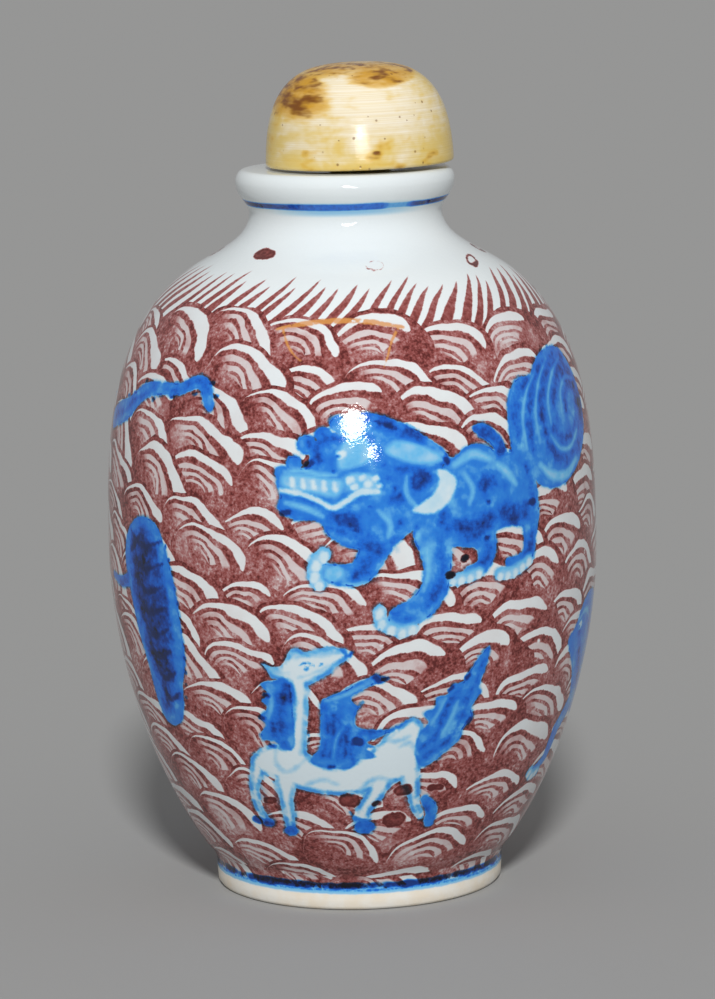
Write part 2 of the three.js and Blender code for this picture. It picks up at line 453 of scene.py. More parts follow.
def paint_lion_body(p):
    """Back, flank, belly and the white collar."""
    p.patch("reserve mid", (-3.5, 0.5), (-1.5, 4.2), (0, 5.2), (1.6, 6), (3.2, 5.7), (4.5, 4.9), (5.8, 4.8),
        (7.2, 4.8), (8.3, 3.6), (8.9, 1.6), (9.1, -0.4), (8.7, -2), (7, -2.1), (5.4, -1.8), (3.9, -2.1),
        (3, -3.2), (1.4, -3.4), (-0.8, -3.1), (-3.8, -3.2), (-4.6, -1.5))
    p.patch("reserve mid deep", (1.8, 7.4), (2.7, 7.8), (3.8, 7.3), (4.8, 6.2), (5.3, 4.9), (4.4, 4.8),
        (3.4, 5.9), (2.4, 6.6))
    p.patch("bare", (-4.5, 0.5), (-2.6, 0.1), (-0.9, 1.2), (-0.2, 2.8), (-0.9, 3.7), (-2, 4), (-1.9, 2.9),
        (-2.7, 1.7))
    p.strokes("lift", (0.5, (-0.3, 4.3), (1.6, 5.1), (3.3, 4.5)),
        (0.45, (4.2, 3.9), (5.4, 2.9), (6.2, 1.9)), (0.3, (0.6, 3.4), (1.4, 2), (1, 0.6)))
    p.dots("deep", (3.1, 2.6, 0.8, 1.3, 0.7), (-1.6, -0.4, 0.6, 1.4, 0.9))
    p.strokes("deep", (1.1, (-0.8, -1.3), (1.6, -1.5), (3.6, -0.6)),
        (0.9, (3.8, -0.4), (6.2, -0.8), (8.3, -0.2)), (0.45, (7.5, 3.4), (8.3, 1.4), (8.4, -1)),
        (0.22, (-5.6, -0.4), (-6.3, -2), (-6, -3)), (0.22, (-4.2, -1), (-4.6, -2.2), (-4.2, -3.1)))
    p.dots("ink", (3, 0.6, 0.34, 1.25), (2.7, -2.6, 0.36, 1.25), (8.2, 0, 0.5, 1.25),
        (-1.8, -0.7, 0.16, 1.25), (5.8, 4.9, 0.2, 1.25))


def paint_lion_legs(p):
    """Raised foreleg, standing foreleg and two hind legs, each with white claws."""
    p.limbs("reserve mid",
        ((-7.4, -1.5, 1.5), (-8.3, -3.4, 1.3), (-9.4, -4.9, 1.15), (-11, -5.1, 1), (-12.4, -4.8, 0.85)),
        ((-2.6, -2, 1.8), (-2.3, -4.6, 1.4), (-2.7, -6.8, 1.3), (-4.2, -8.5, 1.3), (-6, -9.1, 1)),
        ((2.2, -2, 1.5), (2.7, -3.8, 1), (2.1, -5.1, 0.75), (0.8, -5.5, 0.6)),
        ((7.9, -1, 1.3), (7.8, -3, 0.85), (7.6, -4.5, 0.75), (6.3, -5.1, 0.55), (5.1, -5.1, 0.45)))
    p.claws(0.4, (-12.6, -3.5), (-13.3, -4.3), (-13.5, -5.3), (-13.1, -6.2))
    p.dot("lift", -11.7, -5, 0.8, 1.2, 0.4)
    p.dot("deep", -11.6, -5.2, 0.45, 1.3, -0.6)
    p.strokes("deep", (0.7, (-7.8, -2.6), (-8.6, -4.2), (-10, -5.4)),
        (0.6, (-1.9, -2.6), (-1.7, -4.8), (-2.2, -6.8), (-3.6, -8.4)),
        (0.3, (-6.6, -8.6), (-5.2, -9.4), (-4.4, -9.9)), (0.4, (2.9, -2.6), (2.8, -4.2), (1.6, -5.3)),
        (0.45, (8, -2), (8, -4), (6.9, -4.9)))
    p.strokes("lift", (0.22, (-7.9, -5.6), (-9.4, -6), (-10.9, -5.9)),
        (0.25, (-3.3, -3), (-3.2, -5.2), (-3.7, -6.8)))
    p.claws(0.36, (-7.7, -8.8), (-7.5, -9.8), (-6.6, -10.4), (-5.6, -10.7), (-4.7, -10.5))
    p.claws(0.32, (-0.9, -6.4), (0, -6.3), (0.9, -6.2), (1.8, -5.9))
    p.claws(0.32, (4.1, -6.4), (5, -6.4), (5.9, -6.2), (6.8, -5.9), (7.6, -5.5))
    p.dots("rust ink", (-1.1, -5.6, 0.34, 1.5, 0.3), (0.4, -4.2, 0.34, 1.5, 0.3))


def paint_lion(p):
    paint_lion_tail(p)
    paint_lion_body(p)
    paint_lion_head(p)
    paint_lion_legs(p)


def paint_horse_body(p):
    """White body with pale blue outlines and four legs with blue hooves."""
    p.patch("reserve", (-10.6, 2.6), (-9.4, 2.4), (-8, 2.6), (-6.6, 1), (-4.4, 0.4), (-2.2, 1.6),
        (-0.6, 3.2), (0.8, 4.4), (2.2, 5.2), (3.2, 4.2), (3, 2), (3.1, 0.2), (2.6, -1.2), (1, -1.4),
        (-0.6, -1.9), (-2.6, -2.6), (-5, -2.7), (-7, -2.4), (-8.8, -1.9), (-10.4, -1.2), (-12, -0.6),
        (-12.9, 0.6), (-12.2, 1.8))
    p.limbs("reserve", ((-12, 0.6, 0.95), (-12.5, -2, 0.6), (-12.2, -4.2, 0.5), (-11.3, -5.9, 0.45)),
        ((-9.3, -0.8, 1.3), (-9.3, -3, 0.8), (-9, -5, 0.62), (-8.8, -6.4, 0.5)),
        ((-0.6, -0.8, 1.3), (-1, -2.5, 0.9), (-1.8, -3.9, 0.75), (-2.3, -5.2, 0.75)),
        ((2, -0.6, 1.1), (2.4, -2.5, 0.7), (2.7, -4.2, 0.55), (3.2, -5.4, 0.5)))
    outline = 0.25
    p.strokes("lift", (outline, (-10.4, 2), (-10.3, 0.6), (-9.4, -0.3), (-8.2, 0.4), (-7.4, 1.3)),
        (outline, (-12.8, 0), (-12.6, -1.8), (-11.6, -2.6), (-11.3, -4.4), (-10.6, -5.8)),
        (outline, (-10.3, -1), (-10.2, -2.8), (-9.9, -4.6)),
        (outline, (-8.5, -1.9), (-8.6, -3.6), (-8.3, -5.4)),
        (outline, (-7.4, -1.6), (-5.8, -1), (-4.6, -1.5)),
        (outline, (-2.4, -2.2), (-1.6, -1.2), (-0.6, -0.9), (0.4, -1.3)),
        (outline, (1, 2.2), (2, 2.6), (2.7, 1.4)), (outline, (-0.4, 3), (0.8, 2.9), (1.9, 3.3)),
        (outline, (1.4, -1), (1.7, -2.8), (2.1, -4.4)))
    p.dots("reserve mid deep", (-11, -6.2, 0.5, 1.3), (-8.7, -7, 0.62, 1.1), (-1.9, -6.4, 0.8, 1.2))
    p.limb("reserve mid", (3.6, -3.6, 0.5), (4.3, -4.8, 0.65), (4.1, -6.4, 0.5))
    p.limb("deep", (3.8, -4.6, 0.35), (4.1, -5.6, 0.4), (4, -6.5, 0.25))
    p.dots("ink", (-12.2, -6, 0.55, 1.3, -0.4), (-11.3, -6.3, 0.3))
    p.stroke("mid", 0.25, (-3.3, -4.6), (-2.6, -5.4), (-1.4, -5.6))


def paint_horse_head(p):
    """Head turned back, forelock, neck and mane."""
    p.limb("reserve", (-8.7, 1.5, 1.3), (-8.2, 4.5, 0.85), (-8.1, 7.2, 0.8), (-8.3, 9.2, 1))
    p.patch("reserve", (-11.8, 10.6), (-10.6, 10.3), (-9.8, 10.6), (-9.3, 11.5), (-8.9, 12.1), (-8.2, 12.1),
        (-7.5, 11.8), (-6.4, 12.2), (-5, 12.2), (-4, 12.1), (-3.3, 11.7), (-3.9, 11), (-4.8, 10.4),
        (-5.3, 9.8), (-6.4, 9.1), (-7.5, 8.5), (-8.6, 8.4), (-9.6, 8.9), (-10.8, 9.2), (-11.3, 10))
    p.strokes("lift", (0.3, (-11.6, 10.4), (-10.4, 9.9), (-9.2, 9.7)),
        (0.16, (-9.4, 10.6), (-9.1, 11.7), (-8.3, 11.3), (-7.6, 11.6)),
        (0.14, (-8.3, 9.3), (-7, 9.7), (-5.6, 10.4), (-4.6, 10.6)),
        (0.3, (-7.3, 11.5), (-6, 11.7), (-4.6, 11.8)), (0.2, (-11.2, 8.2), (-10.8, 6.8), (-11.1, 5.2)),
        (0.22, (-8, 1.6), (-7.7, 4.4), (-7.5, 7), (-7.4, 8.2)), (0.13, (-6.9, 1.4), (-7.5, 3), (-7.8, 4.6)))
    p.strokes("mid", (0.22, (-4.4, 12), (-3.9, 11.6), (-4, 11.2)),
        (0.12, (-8.2, 10.5), (-7.5, 10.8), (-6.8, 10.5)))
    p.dot("deep", -8.5, 11.3, 0.22, 1.3, -0.6)
    p.dots("mid", (-7.5, 10.2, 0.2, 1.4, 0.3), (-6.2, 10.6, 0.14, 1.8, 0.7), (-11.4, 10.3, 0.3, 1.5, -0.8))
    p.dot("ink", -3.5, 11.6, 0.34, 1.4, 0.9)
    p.patch("reserve mid", (-11.9, 8.5), (-11.2, 8.9), (-10.6, 8.9), (-9.6, 9.3), (-9, 8.6), (-8.75, 6.5),
        (-8.6, 4.5), (-8.5, 2.6), (-8.9, 2), (-9.7, 2.1), (-10.4, 2.8), (-11.6, 2.9), (-11.9, 3.6),
        (-11.4, 4.5), (-11.9, 5.3), (-11.3, 6.2), (-11.8, 7), (-11.2, 7.6))
    p.strokes("deep", (0.6, (-9.5, 8.6), (-10, 6.4), (-9.9, 4.2), (-9.6, 2.6)),
        (0.5, (-10.6, 4.6), (-10.2, 3.4), (-9.4, 2.4)), (0.28, (-9.2, 9), (-8.9, 8), (-9, 7)))
    p.dots("ink", (-11.3, 7.5, 0.3, 1.7, -0.3), (-11.7, 5.2, 0.3, 1.7, -0.3), (-10.7, 2.4, 0.3, 1.7, -0.3))


def paint_horse_wing(p):
    """Raised wing with long feathers."""
    p.patch("reserve mid", (-6.2, 7), (-5.4, 7.6), (-4, 8.2), (-2.6, 9), (-1.2, 9.6), (-0.8, 9),
        (-2.2, 8.2), (-3.4, 7.4), (-2.9, 6.6), (-2.4, 6.9), (-3, 5.8), (-2.9, 4.6), (-1.6, 4.2), (0.2, 4.2),
        (1.4, 4.8), (2, 5.1), (0.6, 4), (-0.8, 3.4), (-1.9, 2.9), (-1.2, 2.4), (-1.9, 2.2), (-1, 1.3),
        (-2.6, 1), (-3.4, 0.2), (-4.4, 0.1), (-5.4, 0.2), (-6.9, 0.7), (-7, 1.4), (-6.3, 2.4), (-6.25, 4.5))
    for i in range(4):
        x = -5.8 + 0.62 * i
        p.stroke("deep", 0.27 + 0.05 * (i % 2), (x, 6.6 - 0.7 * i), (x + 0.25, 4.2),
            (x - 0.1, 1.6 - 0.15 * i))
    p.strokes("deep", (0.3, (-3.2, 1), (-3.3, 2.4), (-2.7, 3.9)),
        (0.35, (-2.4, 4.1), (-1, 3.9), (0.4, 4.2)))
    p.strokes("lift", (0.16, (-5, 1.4), (-4.8, 3.2), (-4.2, 4.4)),
        (0.2, (-5.8, 7.1), (-4, 7.7), (-2.4, 8.5)))
    p.ring("lift", -5, 6.4, 0.26, 0.09)
    p.ring("deep", -5, 6.4, 0.42, 0.08)
    p.dot("deep", -5, 5.2, 0.3, 1.4)
    p.limb("ink", (-1.3, 9.3, 0.4), (-0.9, 8.9, 0.42), (-0.2, 9.2, 0.25))
    p.dots("ink", (-2.8, 3, 0.58, 1.35, -0.2), (-5.1, 0.4, 0.33, 1.5))


def paint_horse_tail(p):
    """Long tail held up behind."""
    p.patch("reserve mid", (2.4, 1.6), (2.7, 3.4), (3.6, 4.4), (3.2, 5.6), (4.2, 5.9), (4.4, 7), (5.4, 7.2),
        (6, 8.1), (7, 8.3), (7.8, 9.5), (8.8, 10.7), (9.8, 11.4), (9.4, 9.4), (8.7, 7.6), (8.9, 7),
        (8, 5.6), (8.1, 4.6), (7.2, 3.6), (6.8, 2.4), (5.4, 1.3), (4.2, 0.3), (3, 0.1))
    p.strokes("deep", (0.42, (2.9, 1.8), (4.6, 3.6), (5.2, 5.6), (6.6, 7.4)),
        (0.38, (3.6, 1), (5.8, 2.8), (7, 5), (8, 7.6)), (0.25, (7.4, 6.6), (8.4, 8.2), (9.1, 10)))
    p.strokes("lift", (0.2, (5, 3.2), (5.9, 4.8), (6.5, 6.4)), (0.18, (3.9, 4.3), (4.7, 5.6), (5.3, 6.8)))
    p.dots("ink", (5.8, 7.7, 0.3, 1.8, 0.8), (7.5, 8.7, 0.3, 1.8, 0.8), (7.7, 4.3, 0.3, 1.8, 0.8))


def paint_horse_spots(p):
    """Red dabs between the legs."""
    p.dots("rust", (-3.4, -3.3, 0.75, 1.35, -0.2), (1.5, -2.4, 0.6, 1.5, 0.1), (-0.9, -3.7, 0.25, 1.8, 0.3),
        (0.8, -5.7, 0.85, 1.3, 0.2), (-10.9, -3.6, 0.4, 1.8, 0.1), (4.6, -2.4, 0.35, 2.4))


def paint_horse(p):
    paint_horse_body(p)
    paint_horse_tail(p)
    paint_horse_wing(p)
    paint_horse_head(p)
    paint_horse_spots(p)


def paint_long_body(p):
    """Long blue body with cross bands and a beaded edge."""
    p.patch("reserve mid", (-4.7, 3.2), (-3, 4.6), (-1, 4.9), (0.4, 4.4), (1.3, 3.2), (1.9, 1.8),
        (2.5, 0.2), (3, -1.8), (3.3, -4.4), (3.3, -7.5), (2.8, -9.2), (2.2, -10.8), (1.8, -12.6),
        (1.1, -14), (0.1, -14.8), (-0.9, -15), (-1.8, -14.6), (-2.4, -13.2), (-2.6, -11), (-2.9, -9),
        (-3.4, -7.2), (-3.9, -5.2), (-4.4, -3.2), (-4.9, -1.4), (-5.4, 0), (-5.4, 1.6))
    # Deep blue over nearly all of the body: partly the paint's own deeper tone, partly painted shade for
    # where the body lies on the darker left side of the bottle.
    p.patch("deep", (-4.4, 2.8), (-2.4, 4), (0, 3.6), (0.8, 1.6), (1.6, -1), (2, -4), (2, -7), (1.2, -10),
        (0.6, -12.6), (-0.6, -14), (-1.7, -13.2), (-2.1, -10), (-3, -6.4), (-4, -3), (-4.8, 0.4))
    p.limb("ink", (-3.9, 1.6, 0.5), (-2.6, 2.9, 0.35), (-1.6, 3.2, 0.2))
    for i in range(8):
        y = 2.4 - 2.05 * i
        middle = -1.4 + 0.24 * i
        half = 2.6 - 0.2 * i
        p.stroke("deep ink", 0.42, (middle - half, y + 0.9), (middle - 0.2 * half, y - 0.3),
            (middle + half, y + 0.5))
    for i in range(12):
        y = 2.6 - 1.3 * i
        p.dot("ink", 3.3 - 0.024 * (y + 5.5) ** 2, y, 0.2, 1.3, 1.4)
    p.limb("reserve mid deep", (-5, -1.5, 0.65), (-7, -1.9, 0.5), (-9.6, -1.7, 0.3))


def paint_branch(p):
    """Knotted blue branch that hooks down at its end."""
    p.limb("reserve mid", (-11, -1.2, 1), (-8.2, -0.3, 1.15), (-6, 0.4, 1), (-4.2, 1.6, 0.8),
        (-2.4, 2.5, 0.75), (0, 2.8, 0.62), (2.4, 3, 0.6), (4.2, 3.8, 0.68), (5.3, 3.4, 0.66),
        (5.8, 2.4, 0.62), (6.2, 1.7, 0.5))
    p.strokes("deep", (0.45, (-10, -0.9), (-7, 0), (-4.6, 1.3), (-2, 2.4)),
        (0.25, (0.4, 2.7), (2.6, 3), (4.4, 3.9), (5.9, 2.9)))
    p.dots("ink", (4.2, 2.7, 0.26, 1.6, 0.2), (6.7, 2.6, 0.26, 1.6, 0.2), (5.9, 3.8, 0.26, 1.6, 0.2),
        (-5, 1.9, 0.26, 1.6, 0.2), (-1.4, 1.7, 0.26, 1.6, 0.2), (1.4, 2.2, 0.26, 1.6, 0.2),
        (-3.2, 3.2, 0.26, 1.6, 0.2), (-6.6, 1.5, 0.26, 1.6, 0.2))


def paint_sea_beast(p):
    """Stocky swimming beast for the sides: crested head, body, fins and a curled tail."""
    p.patch("reserve mid", (-6, 6.4), (-4.2, 8.6), (-1.6, 9.4), (1.2, 8.6), (3, 6.4), (4.4, 3.6),
        (6.2, 1.4), (8.4, -0.6), (8.8, -3), (7, -4.6), (4.2, -4.8), (1.2, -4.2), (-1.4, -3), (-3.4, -0.8),
        (-4.8, 1.8), (-6.6, 4), (-7.4, 5.4))
    p.limbs("reserve mid",
        ((7.4, -2.4, 1.6), (9.6, -1, 1.2), (11, 1.8, 1), (10.6, 4.6, 1.2), (12.4, 6.6, 0.8)),
        ((-2.4, -2, 1.2), (-4.8, -4.4, 0.9), (-5.2, -7.2, 0.7), (-7, -8.4, 0.5)),
        ((4.6, -4, 1.2), (3.4, -6.8, 0.9), (4.2, -9.2, 0.7), (2.8, -10.6, 0.5)))
    p.strokes("deep", (0.9, (-1.8, 6.8), (0.8, 4.6), (3, 0.6), (5.8, -2.4)),
        (0.6, (-4.6, 5.6), (-2.8, 2.4), (-0.6, -0.8), (2.2, -3)), (0.4, (8.6, -1.8), (10.4, 1), (10.6, 4)))
    p.stroke("lift", 0.35, (-5.2, 7), (-3, 7.6), (-1.2, 6.4))
    for i in range(6):
        p.stroke("lift", 0.16, (-0.6 + 1.2 * i, 3.4 - 1.3 * i), (0.4 + 1.2 * i, 2.8 - 1.2 * i),
            (0.8 + 1.2 * i, 1.6 - 1.2 * i))
    p.dot("bare", -4.6, 6.3, 0.4, 1.4, 0.3)
    p.dot("ink", -4.8, 6.2, 0.24, 1.3)
    p.stroke("deep", 0.3, (-5.6, 7.4), (-4.4, 7.4), (-3.4, 6.6))
    for i in range(7):
        p.dot("ink", 2.4 + 0.85 * i, 7.2 - 1.2 * i, 0.22, 1.3)
    p.claws(0.32, (-7.6, -8.7), (-6.8, -9.2), (-6, -9))
    p.claws(0.32, (1.9, -10.8), (2.7, -11.2), (3.5, -11))


def paint_shoulder_dots(painter):
    """Loose red dabs on the white shoulder."""
    p = painter.at(0, 64)
    p.limbs("rust", ((-9.1, 2.4, 0.5), (-8.2, 2.7, 0.75), (-7.5, 2.8, 0.6)),
        ((13.6, -0.1, 0.1), (14.2, -0.3, 0.34), (14.9, 0.1, 0.2)),
        ((1.7, 1.1, -0.02), (2, 0.6, 0.06), (2.8, 0.4, 0)))
    p.ring("rust", 14, 0.4, 0.75, 0.12, 60, 440)
    p.ring("rust", 2.6, 1, 0.78, -0.03, -120, 130)
    for bearing, rise in ((88, 65.4), (132, 64.6), (178, 66), (224, 64.9), (268, 65.6)):
        q = painter.at(bearing, rise)
        q.ring("rust", 0, 0, 0.6, 0.26, 20, 330)


def paint_repair(painter):
    """Gold lacquer over a repaired chip under the shoulder."""
    p = painter.at(0, 56)
    p.limbs("gilt",
        ((-6.6, 1.2, 0.1), (-5, 1.6, 0.24), (-2.6, 2, 0.3), (0, 2.1, 0.28), (2.6, 1.8, 0.26), (5, 1.2, 0.16)),
        ((-5.9, 1.3, 0.16), (-5.6, 0, 0.13), (-5, -1.2, 0.1), (-4.3, -1.8, 0.07)),
        ((4.6, 1.3, 0.16), (3.9, -0.2, 0.12), (3.5, -1.6, 0.1), (3.2, -2.5, 0.07)))


def paint_wall(places):
    """All the painting, as depths inside each layer at the given points."""
    painter = Painter(places)
    paint_lion(painter.at(25, 40))
    paint_horse(painter.at(8, 16))
    paint_long_body(painter.at(-52, 34))
    paint_branch(painter.at(-52, 48))
    paint_sea_beast(painter.at(80, 21, size=0.95))
    paint_sea_beast(painter.at(-103, 44, flip=-1, size=0.9))
    paint_lion(painter.at(182, 37, flip=-1, size=0.95))
    paint_horse(painter.at(-135, 16, flip=-1, size=0.9))
    paint_shoulder_dots(painter)
    paint_repair(painter)
    return painter


# ---------------------------------------------------------------- meshes

def spin_profile(profile, sides):
    """Closed solid turned round the Z axis, in millimetres; the profile has the inside on its left.

    Points and faces are made in a fixed order, so that the mesh is the same each time.
    """
    steps = np.hypot(*np.diff(profile, axis=0).T)
    profile = profile[np.concatenate([[True], steps > SAME_POINT])]
    angles = np.arange(sides) * (2 * math.pi / sides)
    bm = bmesh.new()
    rings = []
    for r, z in profile:
        if r < ON_AXIS:
            rings.append([bm.verts.new((0, 0, z))] * sides)
        else:
            rings.append([bm.verts.new((r * math.sin(a), -r * math.cos(a), z)) for a in angles])
    for low, high in zip(rings, rings[1:]):
        for i in range(sides):
            after = (i + 1) % sides
            # At the axis two corners are one point, which is then taken once.
            bm.faces.new(tuple(dict.fromkeys((low[i], low[after], high[after], high[i]))))
    bm.normal_update()
    return bm


def places_of(bm):
    return np.array([v.co[:] for v in bm.verts], float)


def is_outer(places):
    """Whether points lie on the outer wall, between the foot's edge and the lip."""
    wall = np.interp(places[:, 2], OUTER[:, 1], OUTER[:, 0])
    in_range = (places[:, 2] > OUTER[0, 1] - 1e-3) & (places[:, 2] < OUTER[-1, 1] + 1e-3)
    return in_range & (np.abs(np.hypot(places[:, 0], places[:, 1]) - wall) < WALL_TOLERANCE)


def settle_on_wall(verts):
    """Moves new points out onto the turned outer wall."""
    for v in verts:
        radius = float(np.interp(v.co.z, OUTER[:, 1], OUTER[:, 0]))
        scale = radius / math.hypot(v.co.x, v.co.y)
        v.co.x *= scale
        v.co.y *= scale


def refine_where_painted(bm, choices):
    """Splits the faces that an edge of paint runs through.

    Each choice is how near a face lies to an edge, up to which bearing, and of which layers.
    """
    places = places_of(bm)
    outer = is_outer(places)
    painter = paint_wall(places)
    near = np.zeros(len(places), bool)
    for reach, limit_bearing, layers in choices:
        gap = np.min(np.abs(np.stack([painter.depth[layer] for layer in layers])), 0)
        near |= (gap < reach) & (np.abs(painter.turn) < limit_bearing / 360)
    near &= outer
    bm.verts.index_update()
    faces = [f for f in bm.faces if sum(near[v.index] for v in f.verts) >= 1
             and all(outer[v.index] for v in f.verts)]
    bm.edges.index_update()
    edges = sorted({e for f in faces for e in f.edges}, key=lambda e: e.index)
    made = bmesh.ops.subdivide_edges(bm, edges=edges, cuts=1, use_grid_fill=True)
    fresh = [g for g in made["geom_inner"] if isinstance(g, bmesh.types.BMVert)]
    settle_on_wall(fresh)


def wall_normals(places, outer, mesh):
    """Exact normals on the outer wall, so that the fine and coarse faces shade alike."""
    normals = np.zeros((len(places), 3))
    for v, n in zip(mesh.vertices, normals):
        n[:] = v.normal
    slope = np.gradient(OUTER[:, 0], OUTER[:, 1])
    lean = -np.interp(places[:, 2], OUTER[:, 1], slope)
    radius = np.maximum(np.hypot(places[:, 0], places[:, 1]), 1e-6)
    exact = np.stack([places[:, 0] / radius, places[:, 1] / radius, lean], 1)
    exact /= np.linalg.norm(exact, axis=1)[:, None]
    inner_part = outer & (places[:, 2] > 0.6) & (places[:, 2] < LIP_WIDEST - 0.3)
    normals[inner_part] = exact[inner_part]
    return normals


def add_values(mesh, name, values):
    attribute = mesh.attributes.new(name, "FLOAT", "POINT")
    attribute.data.foreach_set("value", np.asarray(values, np.float32))


def finish_mesh(bm, name):
    mesh = bpy.data.meshes.new(name)
    bm.to_mesh(mesh)
    bm.free()
    mesh.shade_smooth()
    piece = bpy.data.objects.new(name, mesh)
    bpy.context.scene.collection.objects.link(piece)
    return piece


def add_wrap_map(mesh, places, share):
    """Texture map wrapped once round the axis; share is the height of each point on the map."""
    turn = (np.arctan2(places[:, 0], -places[:, 1]) / (2 * math.pi)) % 1
    layer = mesh.uv_layers.new(name="OFBake")
    corner = np.zeros(len(mesh.loops), int)
    mesh.loops.foreach_get("vertex_index", corner)
    across = turn[corner]
    face_count = len(mesh.polygons)
    owner = np.repeat(np.arange(face_count), [p.loop_total for p in mesh.polygons])
    highest = np.zeros(face_count)
    np.maximum.at(highest, owner, across)
    crossing = (highest[owner] - across) > 0.5
    across = np.where(crossing, across + 1, across)
    middle = np.hypot(places[:, 0], places[:, 1])[corner] < 1e-3
    count = np.bincount(owner[~middle], minlength=face_count)
    total = np.bincount(owner[~middle], weights=across[~middle], minlength=face_count)
    centre = total / np.maximum(count, 1)
    across = np.where(middle, centre[owner], across)
    uv = np.stack([MAP_EDGE + across * MAP_WIDTH, share[corner]], 1)
    layer.data.foreach_set("uv", uv.astype(np.float32).ravel())


# The wall is split in three rounds, most finely where the front's figures have hard edges.
REFINING = (
    ((0.55, 95, LAYERS), (0.55, 180, ("reserve",))),
    ((0.25, 92, LAYERS),),
    ((0.09, 70, ("reserve", "bare", "gilt")),),
)


def make_bottle():
    outer_line = even_steps(OUTER, WALL_STEP)
    profile = np.vstack([underside_profile(), outer_line, inside_profile()])
    bm = spin_profile(profile, BOTTLE_SIDES)
    for choices in REFINING:
        refine_where_painted(bm, choices)
    places = places_of(bm)
    outer = is_outer(places)
    painter = paint_wall(places)
    piece = finish_mesh(bm, "bottle_painted")
    mesh = piece.data
    below = (places[:, 2] < 1.6) & ~outer
    radius = np.hypot(places[:, 0], places[:, 1])
    beyond = np.where(below, np.where(radius > TREAD_INNER - 0.4, RISE_TREAD, RISE_RECESS), RISE_INSIDE)
    add_values(mesh, "rise", np.where(outer, painter.rise, beyond))
    for layer, depth in painter.depth.items():
        add_values(mesh, layer, np.where(outer, depth, -FAR))
    outer_share = 0.15 + 0.84 * painter.rise / OUTER_RISE[-1]
    inner_share = 0.07 + 0.07 * (1 - places[:, 2] / LIP_TOP)
    under_share = 0.01 + 0.05 * radius / TREAD_OUTER
    share = np.where(outer, outer_share, np.where(below, under_share, inner_share))
    add_wrap_map(mesh, places, share)
    mesh.normals_split_custom_set_from_vertices(wall_normals(places, outer, mesh).tolist())
    mesh.transform(Matrix.Scale(MM, 4))
    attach(piece, "root")
    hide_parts("bottle")
    return piece


def stopper_profile():
    """Plug and cap, from the plug's end to the top of the dome."""
    reach = CAP_HEIGHT + CAP_SUNK
    angle = np.linspace(0, math.pi / 2, 46)
    heights = CAP_EDGE + (CAP_HEIGHT - CAP_EDGE) * np.sin(angle)
    rise = np.clip((heights + CAP_SUNK) / reach, 0, 1)
    radii = CAP_RADIUS * (1 - rise ** CAP_POWER) ** (1 / CAP_POWER)
    under_edge = quarter_round((CAP_RADIUS - CAP_EDGE, 0), (radii[0], CAP_EDGE), False, 5)
    return np.vstack([
        [(0, -PLUG_LENGTH), (PLUG_RADIUS - PLUG_EDGE, -PLUG_LENGTH)],
        [(PLUG_RADIUS, PLUG_EDGE - PLUG_LENGTH), (PLUG_RADIUS, -2.0), (PLUG_RADIUS, -0.3)],
        [(PLUG_RADIUS + 0.3, 0), (5.0, 0)],
        under_edge,
        np.stack([radii, heights], 1)[1:],
    ])


def make_stopper():
    bm = spin_profile(stopper_profile(), STOPPER_SIDES)
    places = places_of(bm)
    piece = finish_mesh(bm, "stopper_bone")
    mesh = piece.data
    radius = np.hypot(places[:, 0], places[:, 1])
    add_values(mesh, "turning_height", places[:, 2])
    add_values(mesh, "turning_radius", radius)
    cap = places[:, 2] >= CAP_EDGE - 1e-6
    cap_share = 0.3 + 0.68 * (np.maximum(places[:, 2], 0) / CAP_HEIGHT) ** 0.8 * cap
    plug_share = 0.02 + 0.26 * (places[:, 2] + PLUG_LENGTH) / (PLUG_LENGTH + CAP_EDGE)
    share = np.where(cap, cap_share, plug_share)
    add_wrap_map(mesh, places, share)
    seat = LIP_TOP + REST_GAP + CAP_RADIUS * math.sin(STOPPER_TILT)
    mesh.transform(Matrix.Rotation(-STOPPER_TILT, 4, "Y"))
    mesh.transform(Matrix.Translation((STOPPER_SHIFT, 0, seat)))
    mesh.transform(Matrix.Scale(MM, 4))
    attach(piece, "root")
    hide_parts("stopper")
    return piece


# ---------------------------------------------------------------- node writing

class Value:
    """A number in a node tree that ordinary arithmetic can be written with."""

    def __init__(self, tree, socket):
        self.tree = tree
        self.socket = socket

    def maths(self, operation, *others, clamp=False):
        node = self.tree.nodes.new("ShaderNodeMath")
        node.operation = operation
        node.use_clamp = clamp
        for entry, item in zip(node.inputs, (self,) + others):
            feed(self.tree, item, entry)
        return Value(self.tree, node.outputs[0])

    def __add__(self, other):
        return self.maths("ADD", other)

    def __sub__(self, other):
        return self.maths("SUBTRACT", other)

    def __rsub__(self, other):
        return self.maths("MULTIPLY_ADD", -1.0, other)

    def __mul__(self, other):
        return self.maths("MULTIPLY", other)

    def __truediv__(self, other):
        return self.maths("DIVIDE", other)

    def __mod__(self, other):
        return self.maths("FLOORED_MODULO", other)

    __radd__ = __add__
    __rmul__ = __mul__

    def floor(self):
        return self.maths("FLOOR")

    def root(self):
        return self.maths("MAXIMUM", 0.0).maths("SQRT")

    def power(self, other):
        return self.maths("MAXIMUM", 0.0).maths("POWER", other)

    def size(self):
        return self.maths("ABSOLUTE")

    def least(self, other):
        return self.maths("MINIMUM", other)

    def most(self, other):
        return self.maths("MAXIMUM", other)

    def above(self, other):
        return self.maths("GREATER_THAN", other)

    def clamp(self):
        return self.maths("ADD", 0.0, clamp=True)

    def ease(self, low, high, bottom=0.0, top=1.0):
        """Runs smoothly from bottom to top as the number goes from low to high."""
        node = self.tree.nodes.new("ShaderNodeMapRange")
        node.interpolation_type = "SMOOTHSTEP"
        for entry, item in zip(node.inputs, (self, low, high, bottom, top)):
            feed(self.tree, item, entry)
        return Value(self.tree, node.outputs[0])


def feed(tree, item, entry):
    """Links a value to a socket, or sets the socket to a plain number or colour."""
    if isinstance(item, Value):
        tree.links.new(item.socket, entry)
    else:
        entry.default_value = item


def toward(start, end, share):
    """Number part of the way from start to end."""
    return start + (end - start) * share


